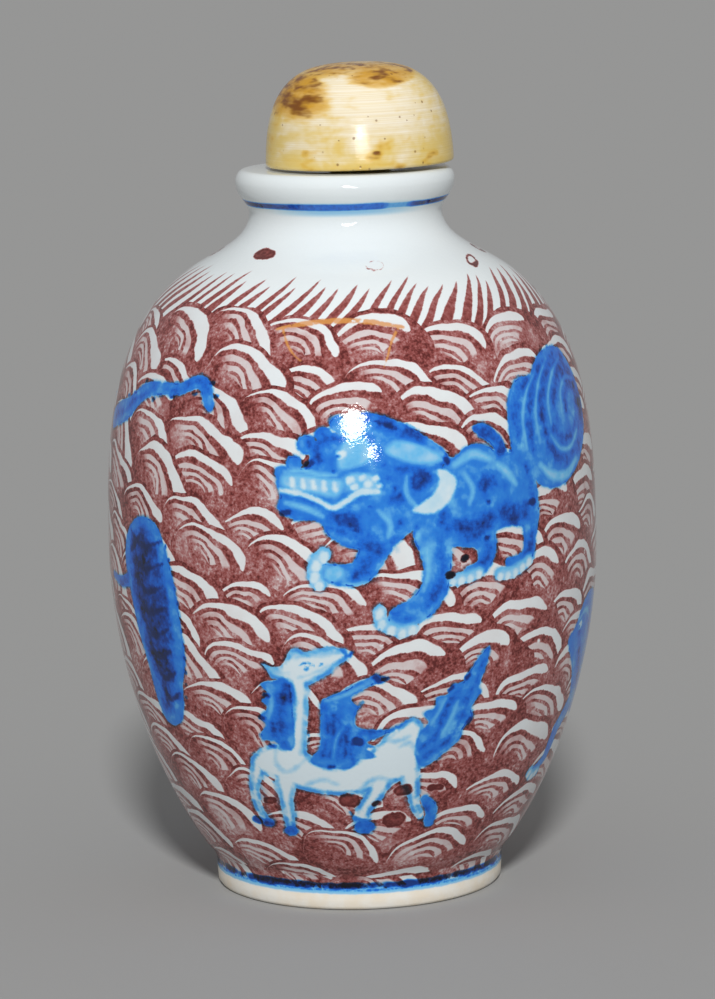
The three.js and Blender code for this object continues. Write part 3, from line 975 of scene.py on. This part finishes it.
def as_vector(tree, x, y=0.0, z=0.0):
    node = tree.nodes.new("ShaderNodeCombineXYZ")
    for entry, item in zip(node.inputs, (x, y, z)):
        feed(tree, item, entry)
    return Value(tree, node.outputs[0])


def parts_of(vector):
    node = vector.tree.nodes.new("ShaderNodeSeparateXYZ")
    feed(vector.tree, vector, node.inputs[0])
    return [Value(vector.tree, socket) for socket in node.outputs]


def object_place(tree):
    """Object coordinates in millimetres."""
    coordinates = tree.nodes.new("ShaderNodeTexCoord")
    scale = tree.nodes.new("ShaderNodeVectorMath")
    scale.operation = "SCALE"
    tree.links.new(coordinates.outputs["Object"], scale.inputs[0])
    scale.inputs["Scale"].default_value = 1 / MM
    return Value(tree, scale.outputs[0])


def attribute(tree, name):
    node = tree.nodes.new("ShaderNodeAttribute")
    node.attribute_name = name
    return Value(tree, node.outputs["Fac"])


def noise(place, scale, detail=2.0, roughness=0.5, distortion=0.0):
    """Cloudy pattern between 0 and 1; scale is in cycles to the millimetre."""
    node = place.tree.nodes.new("ShaderNodeTexNoise")
    feed(place.tree, place, node.inputs["Vector"])
    settings = {"Scale": scale, "Detail": detail, "Roughness": roughness, "Distortion": distortion}
    for label, number in settings.items():
        node.inputs[label].default_value = number
    return Value(place.tree, node.outputs[0])


def chance(vector):
    """Four random numbers that stay the same for the same vector."""
    tree = vector.tree
    node = tree.nodes.new("ShaderNodeTexWhiteNoise")
    node.noise_dimensions = "3D"
    feed(tree, vector, node.inputs["Vector"])
    return [Value(tree, node.outputs["Value"])] + parts_of(Value(tree, node.outputs["Color"]))


def blob(x, z, x_middle, z_middle, x_reach, z_reach):
    """Soft oval patch on the front and back of a piece."""
    across = (x - x_middle) / x_reach
    up = (z - z_middle) / z_reach
    return (across * across + up * up).ease(1.6, 0.1)


def flecks(place, scale, share, size=0.25):
    """Small round specks in some of the cells of a lattice."""
    tree = place.tree
    node = tree.nodes.new("ShaderNodeTexVoronoi")
    feed(tree, place, node.inputs["Vector"])
    node.inputs["Scale"].default_value = scale
    gap = Value(tree, node.outputs["Distance"])
    pick, big = parts_of(Value(tree, node.outputs["Color"]))[:2]
    radius = size * (0.35 + 0.65 * big)
    return gap.ease(radius, radius * 0.4) * pick.maths("LESS_THAN", share)


def blend(tree, share, first, second, mode="MIX"):
    """Mixes two colours."""
    node = tree.nodes.new("ShaderNodeMix")
    node.data_type = "RGBA"
    node.blend_type = mode
    feed(tree, share, node.inputs[0])
    feed(tree, first, node.inputs[6])
    feed(tree, second, node.inputs[7])
    return Value(tree, node.outputs[2])


def tint(red, green, blue):
    """Linear colour from ordinary 0 to 255 values."""
    def linear(c):
        c /= 255
        return c / 12.92 if c <= 0.04045 else ((c + 0.055) / 1.055) ** 2.4
    return (linear(red), linear(green), linear(blue), 1.0)


def ramp(amount, *stops):
    """Colour for an amount; each stop is a position and a colour."""
    node = amount.tree.nodes.new("ShaderNodeValToRGB")
    feed(amount.tree, amount, node.inputs[0])
    elements = node.color_ramp.elements
    while len(elements) < len(stops):
        elements.new(0.5)
    for element, (position, colour) in zip(elements, stops):
        element.position = position
        element.color = colour
    return Value(amount.tree, node.outputs[0])


def new_group(name, inputs, outputs):
    """A shader node group; gives the group, its inputs as values, and its output node."""
    group = bpy.data.node_groups.new(name, "ShaderNodeTree")
    kinds = {"number": "NodeSocketFloat", "colour": "NodeSocketColor", "vector": "NodeSocketVector"}
    for label, kind in inputs.items():
        group.interface.new_socket(label, in_out="INPUT", socket_type=kinds[kind])
    for label, kind in outputs.items():
        group.interface.new_socket(label, in_out="OUTPUT", socket_type=kinds[kind])
    source = group.nodes.new("NodeGroupInput")
    entries = [Value(group, source.outputs[label]) for label in inputs]
    return group, entries, group.nodes.new("NodeGroupOutput")


def use_group(tree, group, **entries):
    """Places a group in a tree and gives its outputs as values."""
    node = tree.nodes.new("ShaderNodeGroup")
    node.node_tree = group
    for label, item in entries.items():
        feed(tree, item, node.inputs[label])
    return [Value(tree, socket) for socket in node.outputs]


def new_material(name):
    material = bpy.data.materials.new(name)
    material.use_nodes = True
    return material, material.node_tree, material.node_tree.nodes["Principled BSDF"]


def add_bump(tree, shader, strength, height):
    bump = tree.nodes.new("ShaderNodeBump")
    bump.inputs["Distance"].default_value = BUMP_DEPTH
    bump.inputs["Strength"].default_value = strength
    feed(tree, height, bump.inputs["Height"])
    tree.links.new(bump.outputs[0], shader.inputs["Normal"])


# ---------------------------------------------------------------- waves

# Heights and spacings are millimetres along the wall, measured up from the foot.
ROW_START = 1.9
ROW_GAP = 3.3
LAST_ROW = 16
TALLEST = 4.6
MOST_SCALES = 20.2
FULLEST_HEIGHT = 36.0
SCALES_THIN_OUT = 0.0085
RIM_LINE = 0.11
SCALES_END = 54.5
FRINGE_FOOT = 56.7
FRINGE_START = 57.0
FRINGE_RADIUS = 16.6
FRINGE_COUNT = 62.0
FOOT_GLOW = 1.45
FOOT_LINE = 1.6
FOOT_BLOTS = 1.98
# Height of the painted highlight under the neck line.
NECK_PAINTED_HIGHLIGHT = 71.7
NECK_LINE = 71.95


def make_wave_scale():
    """One candidate scale of the wave pattern near a point of the wall.

    Along is the place in its row, counted in scales, Up the millimetres above the row's line.
    Layer runs from 0 at the scale's rim inwards, Bearing is the angle round it from its top.
    """
    labels = ("Up", "Pitch", "Along", "Count", "Row", "Side", "Lean")
    group, (up, pitch, along, count, row, side, lean), out = new_group(
        "wave_scale",
        {label: "number" for label in labels},
        {"Inside": "number", "Layer": "number", "Bearing": "number", "Seed": "number", "Extra": "number"},
    )
    column = along.floor() + side
    dice = chance(as_vector(group, column % count, row))
    size = 3.65 + 0.7 * dice[1]
    lift = (TALLEST - size * 1.02) * (dice[2] * 2.6 - 1.6)
    x = (along - column) * pitch - (dice[0] - 0.5) * 1.5
    y = up - lift
    lean = lean + (dice[3] - 0.5) * 0.6
    cosine, sine = lean.maths("COSINE"), lean.maths("SINE")
    px = (x * cosine - y * sine) / (size * 1.2)
    py = (y * cosine + x * sine) / (size * 0.97)
    ox, oy, shrink = -0.30, -0.12, 0.95
    a = ox * ox + oy * oy - shrink ** 2
    b = px * ox + py * oy - shrink
    c = px * px + py * py - 1
    results = {
        "Inside": (c * -1).above(0.0),
        "Layer": (b + (b * b - a * c).root()) / a,
        "Bearing": px.maths("ARCTAN2", py),
        "Seed": dice[0],
        "Extra": dice[3],
    }
    for label, item in results.items():
        feed(group, item, out.inputs[label])
    return group


def make_wave_field(scale):
    """The front-most scale at each point: lower rows lie in front, and left scales in front of right.

    Turn is the share of a turn round the bottle and Rise the millimetres up its wall.
    """
    labels = ("Inside", "Layer", "Bearing", "Seed", "Extra")
    group, (turn, rise, radius), out = new_group(
        "wave_field",
        {"Turn": "number", "Rise": "number", "Radius": "number"},
        {label: "number" for label in labels},
    )
    lowest = ((rise - TALLEST - ROW_START) / ROW_GAP).maths("CEIL")
    # Scales lean to the right on the left side, and either way on the right.
    lean = turn.ease(-0.2, 0.08, 0.62, 0.1)
    front = None
    for step in (1, 0):
        row = lowest + step
        centre = row * ROW_GAP + ROW_START
        above, below = (centre - FULLEST_HEIGHT).power(2.0), (FULLEST_HEIGHT - centre).power(2.0)
        count = (MOST_SCALES - SCALES_THIN_OUT * above).maths("ROUND")
        count = count.least((MOST_SCALES - SCALES_THIN_OUT * below).maths("ROUND"))
        along = turn * count - chance(as_vector(group, row, 7.3))[0] * 0.5 - (row * 0.5) % 1.0
        entries = {"Up": rise - centre, "Pitch": radius * (2 * math.pi) / count, "Along": along,
                   "Count": count, "Row": row, "Lean": lean}
        allowed = row.above(-0.5) * (row * -1).above(-LAST_ROW - 0.5)
        for side in (1.0, 0.0):
            found = use_group(group, scale, Side=side, **entries)
            inside = found[0] * allowed
            if front is None:
                front = [inside] + found[1:]
                continue
            rest = [toward(old, new, inside) for old, new in zip(front[1:], found[1:])]
            front = [front[0].most(inside)] + rest
    for label, item in zip(labels, front):
        feed(group, item, out.inputs[label])
    return group


def make_red_painting(field):
    """Copper red on the wall: how strong the colour is at each point, 0 on bare glaze."""
    group, (place, turn, rise, radius), out = new_group(
        "red_painting",
        {"Place": "vector", "Turn": "number", "Rise": "number", "Radius": "number"},
        {"Strength": "number"},
    )
    sway = noise(place, 0.16, 1.0)
    sway_up = noise(place, 0.19, 1.0)
    shiver = noise(place, 0.8, 1.0)
    moved_turn = turn + ((sway - 0.5) * 3.0 + (shiver - 0.5) * 0.35) / (radius * (2 * math.pi))
    moved_rise = rise + (sway_up - 0.5) * 2.4 + (shiver - 0.5) * 0.3
    inside, layer, bearing, seed, extra = use_group(
        group, field, Turn=moved_turn, Rise=moved_rise, Radius=radius)
    grain = noise(place, 2.3, 3.0, 0.68)
    speck = noise(place, 4.4, 1.0)
    cloud = noise(place, 0.38, 2.0)
    t = layer + (grain - 0.5) * 0.03 + (speck - 0.5) * 0.025
    # The broad white crest under the rim: thin at its left end, thick and rounded at its right.
    right_end = 0.86 + 0.36 * extra
    rounded = ((right_end - bearing) * 3.0).clamp().root()
    pointed = ((bearing + 1.5) * 0.75).clamp().power(0.8)
    full = 0.15 + 0.095 * seed
    crest_start = RIM_LINE + full * 0.5 * (1 - rounded)
    crest_end = RIM_LINE + full * pointed * (0.5 + 0.5 * rounded)
    crest = t.ease(crest_start - 0.02, crest_start + 0.012) * t.ease(crest_end + 0.02, crest_end - 0.012)
    crest = crest * rounded.above(0.01)
    # Thinner white lines inside it.
    spacing = 0.195 + 0.06 * extra
    step = (t - RIM_LINE - full * pointed - 0.12) / spacing
    number = step.floor()
    share = step - number
    width = (0.54 - 0.05 * number + 0.1 * seed).most(0.3)
    line = share.ease(0.0, 0.12) * share.ease(width + 0.12, width)
    line = line * bearing.ease(right_end + 0.12 - 0.14 * number, right_end - 0.14 - 0.14 * number)
    line = line * bearing.ease(-1.6, -1.0) * step.above(0.0) * (2.0 + seed * 2.8).above(number)
    line = line * (cloud.ease(0.3, 0.5) * 0.2 + 0.8)
    white = crest.most(line * 0.94) * inside
    # Wash and flecks in the red.
    wash = cloud.ease(0.38, 0.66)
    core = layer.ease(0.38, 0.72)
    red = 0.86 + (grain - 0.5) * 1.5 + (speck - 0.5) * 0.7 - wash * 0.22 - core * 0.14
    veil = 0.02 + 0.08 * (1 - crest) + 0.03 * wash
    milky = noise(place, 0.16, 1.0).ease(0.58, 0.68) * 0.38
    bald = flecks(place, 0.42, 0.12, 0.2)
    red = red * (1 - bald * grain.ease(0.4, 0.5))
    wave = toward(red * (1 - milky * layer.ease(0.12, 0.4)), veil, white)
    # Long pointed strokes that fringe the shoulder, leaning over to the left of the bottle.
    sine = (turn * (2 * math.pi)).maths("SINE")
    slant = 0.74 - 0.62 * sine
    spread = sine * (radius / FRINGE_RADIUS - 1) / (2 * math.pi)
    ahead = turn + spread - slant * (rise - FRINGE_START) / (FRINGE_RADIUS * 2 * math.pi)
    along = ahead * FRINGE_COUNT + (sway - 0.5) * 1.2
    blade = along.floor()
    dice = chance(as_vector(group, blade % FRINGE_COUNT, 3.7))
    off = (along - blade - 0.5 - (dice[1] - 0.5) * 0.3) * (FRINGE_RADIUS * 2 * math.pi / FRINGE_COUNT)
    length = 4.2 + 2.3 * dice[0] + slant * 0.8
    up = ((rise - FRINGE_START) / length).clamp()
    thick = (0.44 + 0.12 * dice[2]) * (1 - up.power(2.6)) + (0.1 - 0.5 * up).most(0.0)
    thick = thick + (grain - 0.5) * 0.16
    stroke = (thick - off.size()).ease(-0.07, 0.1) * up.ease(1.0, 0.9)
    base = (FRINGE_FOOT + (sway - 0.5) * 2.0 - rise).ease(-0.4, 0.3)
    fringe_red = (0.84 + (grain - 0.5) * 1.0 - 0.25 * up) * stroke.most(base)
    above_scales = (1 - inside) * rise.above(SCALES_END)
    gap_red = 0.9 + (grain - 0.5) * 1.0 - wash * 0.15
    strength = toward(toward(gap_red, wave, inside), fringe_red, above_scales)
    # The pattern ends at the foot.
    strength = strength * (rise + (grain - 0.5) * 0.9).ease(1.72, 2.05)
    feed(group, strength, out.inputs["Strength"])
    return group


def make_blue_painting():
    """Cobalt on the wall: strength of the blue, how far the figures clear the red, and red dabs."""
    group, (place, turn, rise), out = new_group(
        "blue_painting",
        {"Place": "vector", "Turn": "number", "Rise": "number"},
        {"Strength": "number", "Clear": "number", "Dabs": "number"},
    )
    grain = noise(place, 2.4, 3.0, 0.6)
    cloud = noise(place, 0.75, 2.0)
    pool = noise(place, 0.3, 1.0)
    edge = (grain - 0.5) * 0.34
    depth = {layer: attribute(group, layer) + edge for layer in LAYERS if layer != "gilt"}
    clear = depth["reserve"].ease(-0.06, 0.09)
    mid = depth["mid"].ease(-0.1, 0.2)
    outline = (depth["reserve"] - 0.2).size().ease(0.5, 0.04)
    strength = 0.035 * clear + 0.42 * outline * cloud.ease(0.25, 0.55)
    strength = toward(strength, 0.51 + (cloud - 0.5) * 0.6 + (pool - 0.5) * 0.3 + (grain - 0.5) * 0.15, mid)
    rim = depth["mid"].size().ease(0.34, 0.05)
    strength = strength + rim * mid * 0.08
    deep = (depth["deep"] + (cloud - 0.5) * 0.6).ease(-0.35, 0.55)
    strength = strength + deep * (0.25 + (grain - 0.5) * 0.2)
    strength = strength + depth["deep"].ease(0.5, 1.3) * 0.14
    lift = (depth["lift"] + (cloud - 0.5) * 0.5).ease(-0.25, 0.4)
    strength = toward(strength, 0.23 + (cloud - 0.5) * 0.25, lift * 0.88)
    bare = depth["bare"].ease(-0.18, 0.2)
    strength = toward(strength, 0.06 + (cloud - 0.5) * 0.14, bare * 0.95)
    ink = (depth["ink"] + (cloud - 0.5) * 0.4 - 0.06).ease(-0.12, 0.22)
    strength = toward(strength, 0.97, ink * 0.85)
    # Dark beads where the blue outline crosses the red.
    beads = noise(place, 0.95, 1.0).ease(0.56, 0.66)
    border = (depth["reserve"] - 0.02).size().ease(0.3, 0.08)
    strength = strength.most(border * beads * mid.most(0.35) * 0.98)
    # Line at the neck, line above the foot, and the dark blots over it. On the front the neck line is drawn
    # lighter and wider, with a pale blue band painted under it: a painted highlight.
    wander = (noise(place, 0.12, 1.0) - 0.5) * 0.5
    broken = (turn - 0.085).size().ease(0.012, 0.03)
    middle = turn.size().ease(0.16, 0.03)
    neck_gap = (rise - NECK_LINE + wander).size()
    neck = (0.31 + 0.1 * middle * broken - neck_gap).ease(-0.14, 0.14)
    neck = neck * (0.5 + 0.5 * broken) * (0.95 - 0.27 * middle + (grain - 0.5) * 0.5)
    # Pale blue band under the neck line, on the front only: a painted highlight.
    neck_painted_highlight = (0.95 - (rise - NECK_PAINTED_HIGHLIGHT + wander).size()).ease(0.0, 0.6) * 0.22 * middle
    foot = (0.15 - (rise - FOOT_LINE + wander * 0.4).size()).ease(-0.2, 0.14)
    foot = foot * (0.46 + (grain - 0.5) * 1.2)
    foot_glow = (0.4 - (rise - FOOT_GLOW).size()).ease(-0.2, 0.4) * 0.27
    blot = noise(place, 0.55, 2.0)
    blots = blot.ease(0.25, 0.5) * (blot * 0.9 - 0.16 - (rise - FOOT_BLOTS).size()).ease(-0.2, 0.16)
    strength = strength.most(neck.most(neck_painted_highlight)).most(foot.most(foot_glow)).most(blots * 0.9)
    dabs = depth["rust"].ease(-0.12, 0.12)
    dabs = dabs * (0.9 + 0.2 * depth["rust"].ease(0.4, 0.05) + (grain - 0.5) * 0.9)
    for label, item in {"Strength": strength, "Clear": clear, "Dabs": dabs}.items():
        feed(group, item, out.inputs[label])
    return group


def make_porcelain(red_painting, blue_painting):
    """Glossy white porcelain with its painting, bare biscuit on the foot, and gold on the repair."""
    material, tree, shader = new_material("painted_porcelain")
    place = object_place(tree)
    x, y = parts_of(place)[:2]
    turn = x.maths("ARCTAN2", y * -1) / (2 * math.pi)
    radius = (x * x + y * y).root()
    rise = attribute(tree, "rise")
    red = use_group(tree, red_painting, Place=place, Turn=turn, Rise=rise, Radius=radius)[0]
    blue, clear, dabs = use_group(tree, blue_painting, Place=place, Turn=turn, Rise=rise)
    wall = rise.above(0.0) * (85.0 - rise).above(0.0)
    red = (red * (1 - clear)).most(dabs) * wall
    blue = blue * wall
    cloud = noise(place, 0.09, 2.0)
    glaze = blend(tree, cloud, tint(224, 233, 236), tint(234, 239, 239))
    red_colour = ramp(
        red,
        (0.0, tint(255, 255, 255)),
        (0.22, tint(226, 194, 192)),
        (0.5, tint(190, 124, 122)),
        (0.75, tint(160, 78, 74)),
        (1.0, tint(104, 38, 36)),
    )
    blue_colour = ramp(
        blue,
        (0.0, tint(255, 255, 255)),
        (0.1, tint(212, 238, 252)),
        (0.3, tint(118, 202, 252)),
        (0.5, tint(48, 142, 238)),
        (0.68, tint(24, 114, 228)),
        (0.84, tint(16, 72, 170)),
        (1.0, tint(10, 22, 52)),
    )
    colour = blend(tree, 1.0, glaze, red_colour, "MULTIPLY")
    colour = blend(tree, 1.0, colour, blue_colour, "MULTIPLY")
    # Biscuit of the foot ring.
    fray = (noise(place, 1.2, 2.0) - 0.5) * 0.25
    biscuit = (rise + fray).ease(1.28, 1.12) * rise.above(-10.0)
    stain = noise(place, 0.5, 3.0).ease(0.35, 0.75)
    biscuit_colour = blend(tree, stain * 0.7, tint(238, 235, 226), tint(234, 220, 196))
    colour = blend(tree, biscuit, colour, biscuit_colour)
    # Gold lacquer.
    wear = noise(place, 1.7, 2.0)
    gilt = (attribute(tree, "gilt") + (wear - 0.5) * 0.3).ease(-0.08, 0.12) * wear.ease(0.25, 0.42) * wall
    colour = blend(tree, gilt * 0.85, colour, tint(214, 146, 74))
    feed(tree, colour, shader.inputs["Base Color"])
    feed(tree, toward(0.055 + 0.02 * cloud, 0.75, biscuit) + gilt * 0.25, shader.inputs["Roughness"])
    shader.inputs["IOR"].default_value = 1.5
    add_bump(tree, shader, 0.35, noise(place, 0.3, 1.0) * 0.5 + noise(place, 3.2, 1.0) * 0.3)
    return material


def make_bone():
    """Aged bone: fine turning lines, brown stains on the dome and dark pits."""
    material, tree, shader = new_material("aged_bone")
    place = object_place(tree)
    height = attribute(tree, "turning_height")
    radius = attribute(tree, "turning_radius")
    x, y, z = parts_of(place)
    around = (x - STOPPER_SHIFT).maths("ARCTAN2", y * -1) * CAP_RADIUS
    across = radius * 0.9 + height * -1.0
    rings = noise(as_vector(tree, across, 0.0, 0.0), 2.6, 4.0, 0.7)
    cloud = noise(place, 0.21, 3.0, 0.6, 0.4)
    fine = noise(as_vector(tree, across, 0.0, 4.0), 7.0, 2.0, 0.6)
    streak = noise(as_vector(tree, across * 1.6, around * 0.5, 0.0), 0.7, 2.0, 0.5)
    cream = blend(tree, rings.ease(0.3, 0.7), tint(240, 224, 184), tint(252, 245, 228))
    cream = blend(tree, fine.ease(0.45, 0.7) * 0.35, cream, tint(206, 172, 112))
    # The dome is painted yellower and darker towards its sides and back, away from the front: painted shade.
    # The rest of this yellowing is the bone's own stain, with more of it low on the dome.
    sides = (around.size() / CAP_RADIUS).ease(0.35, 1.3)
    low_part = height.ease(5.6, 1.6)
    yellowing_and_painted_shade = (cloud * 0.7 + streak * 0.3 + sides * 0.14 + low_part * 0.16).ease(0.44, 0.76) * 0.8
    colour = blend(tree, yellowing_and_painted_shade, cream, tint(228, 196, 88))
    # Stains lie on the left shoulder of the dome, across its top, and in small patches lower down.
    left = blob(x, z, -4.4, 74.8, 3.2, 2.2)
    right_top = blob(x, z, 3.4, 76.4, 3.2, 0.9)
    patches = noise(as_vector(tree, across * 1.1, around * 0.6, 9.0), 0.55, 2.0).ease(0.52, 0.74) * low_part
    crown = height.ease(7.9, 9.0)
    stain = left.most(crown * 0.8).most(right_top).most(patches * 0.8)
    stain = stain * 0.95 + (cloud - 0.5) * 1.3 + (streak - 0.5) * 1.1 - 0.06
    halo = stain.ease(-0.1, 0.5)
    stain = stain.ease(0.1, 1.05)
    colour = blend(tree, halo * 0.62, colour, tint(232, 190, 74))
    colour = blend(tree, stain * (0.72 + rings * 0.3), colour, tint(204, 146, 6))
    burn = noise(as_vector(tree, across * 1.3, around * 0.55, 3.0), 0.6, 2.0, 0.5)
    dark = (burn + stain * 0.24).ease(0.6, 0.88) * stain.ease(0.1, 0.7)
    colour = blend(tree, dark * 0.9, colour, tint(112, 56, 6))
    pits = flecks(place, 1.4, 0.34, 0.27)
    colour = blend(tree, pits * 0.7, colour, tint(130, 84, 30))
    feed(tree, colour, shader.inputs["Base Color"])
    feed(tree, 0.09 + 0.08 * rings + 0.12 * stain, shader.inputs["Roughness"])
    shader.inputs["IOR"].default_value = 1.5
    add_bump(tree, shader, 0.5, rings * 0.5 + fine * 0.25 - pits * 0.5)
    return material


# ---------------------------------------------------------------- setting

def plain_material(name, colour, roughness):
    material, _, shader = new_material(name)
    shader.inputs["Base Color"].default_value = colour
    shader.inputs["Roughness"].default_value = roughness
    shader.inputs["Specular IOR Level"].default_value = 0.0
    return material


def lay_floor():
    bm = bmesh.new()
    bmesh.ops.create_grid(bm, x_segments=1, y_segments=1, size=FLOOR_HALF)
    floor = finish_mesh(bm, "floor")
    floor.data.materials.append(plain_material("floor_grey", tint(166, 166, 165), 0.9))


def add_glint(name, place, width, height, watts):
    """A small lamp that shows only as a reflection in the glaze."""
    light = bpy.data.lights.new(name, "AREA")
    light.shape = "ELLIPSE"
    light.size = width * MM
    light.size_y = height * MM
    light.energy = watts
    lamp = bpy.data.objects.new(name, light)
    lamp.location = Vector(place) * MM
    lamp.rotation_euler = (Vector(GLINT_AIM) - Vector(place)).to_track_quat("-Z", "Y").to_euler()
    lamp.visible_diffuse = False
    bpy.context.scene.collection.objects.link(lamp)


def light_scene():
    world = bpy.data.worlds.new("room_grey")
    world.use_nodes = True
    world.node_tree.nodes["Background"].inputs["Color"].default_value = ROOM_GREY
    bpy.context.scene.world = world
    # One light from the front, and small lamps that give the glints.
    front = bpy.data.lights.new("front_light", "SUN")
    front.energy = SUN_STRENGTH
    front.angle = SUN_SPREAD
    lamp = bpy.data.objects.new("front_light", front)
    lamp.rotation_euler = (SUN_LEAN, 0, SUN_TURN)
    lamp.visible_glossy = False
    bpy.context.scene.collection.objects.link(lamp)
    add_glint("glint", (14, -430, 172), 90, 80, 0.5)
    add_glint("small_glint", (77, -430, 108), 34, 26, 0.07)


def place_camera():
    """Looks slightly down from in front, from about 0.4 m."""
    pitch, roll = CAMERA_PITCH, CAMERA_ROLL
    camera_data = bpy.data.cameras.new("camera")
    camera_data.sensor_width = CAMERA_SENSOR
    camera_data.lens = CAMERA_LENS
    camera_data.clip_start = 0.02
    camera_data.clip_end = 40.0
    camera = bpy.data.objects.new("camera", camera_data)
    forward = Vector((0, math.cos(pitch), -math.sin(pitch)))
    level_up = Vector((0, math.sin(pitch), math.cos(pitch)))
    across = Vector((1, 0, 0))
    right = across * math.cos(roll) + level_up * math.sin(roll)
    up = level_up * math.cos(roll) - across * math.sin(roll)
    turn = Matrix((right, up, -forward)).transposed().to_4x4()
    camera.matrix_world = Matrix.Translation(Vector(CAMERA_PLACE) * MM) @ turn
    bpy.context.scene.collection.objects.link(camera)
    bpy.context.scene.camera = camera


# ---------------------------------------------------------------- assembly

bottle = make_bottle()
stopper = make_stopper()
wave_field = make_wave_field(make_wave_scale())
bottle.data.materials.append(make_porcelain(make_red_painting(wave_field), make_blue_painting()))
stopper.data.materials.append(make_bone())
lay_floor()
light_scene()
place_camera()
bpy.context.scene.view_settings.view_transform = "Standard"
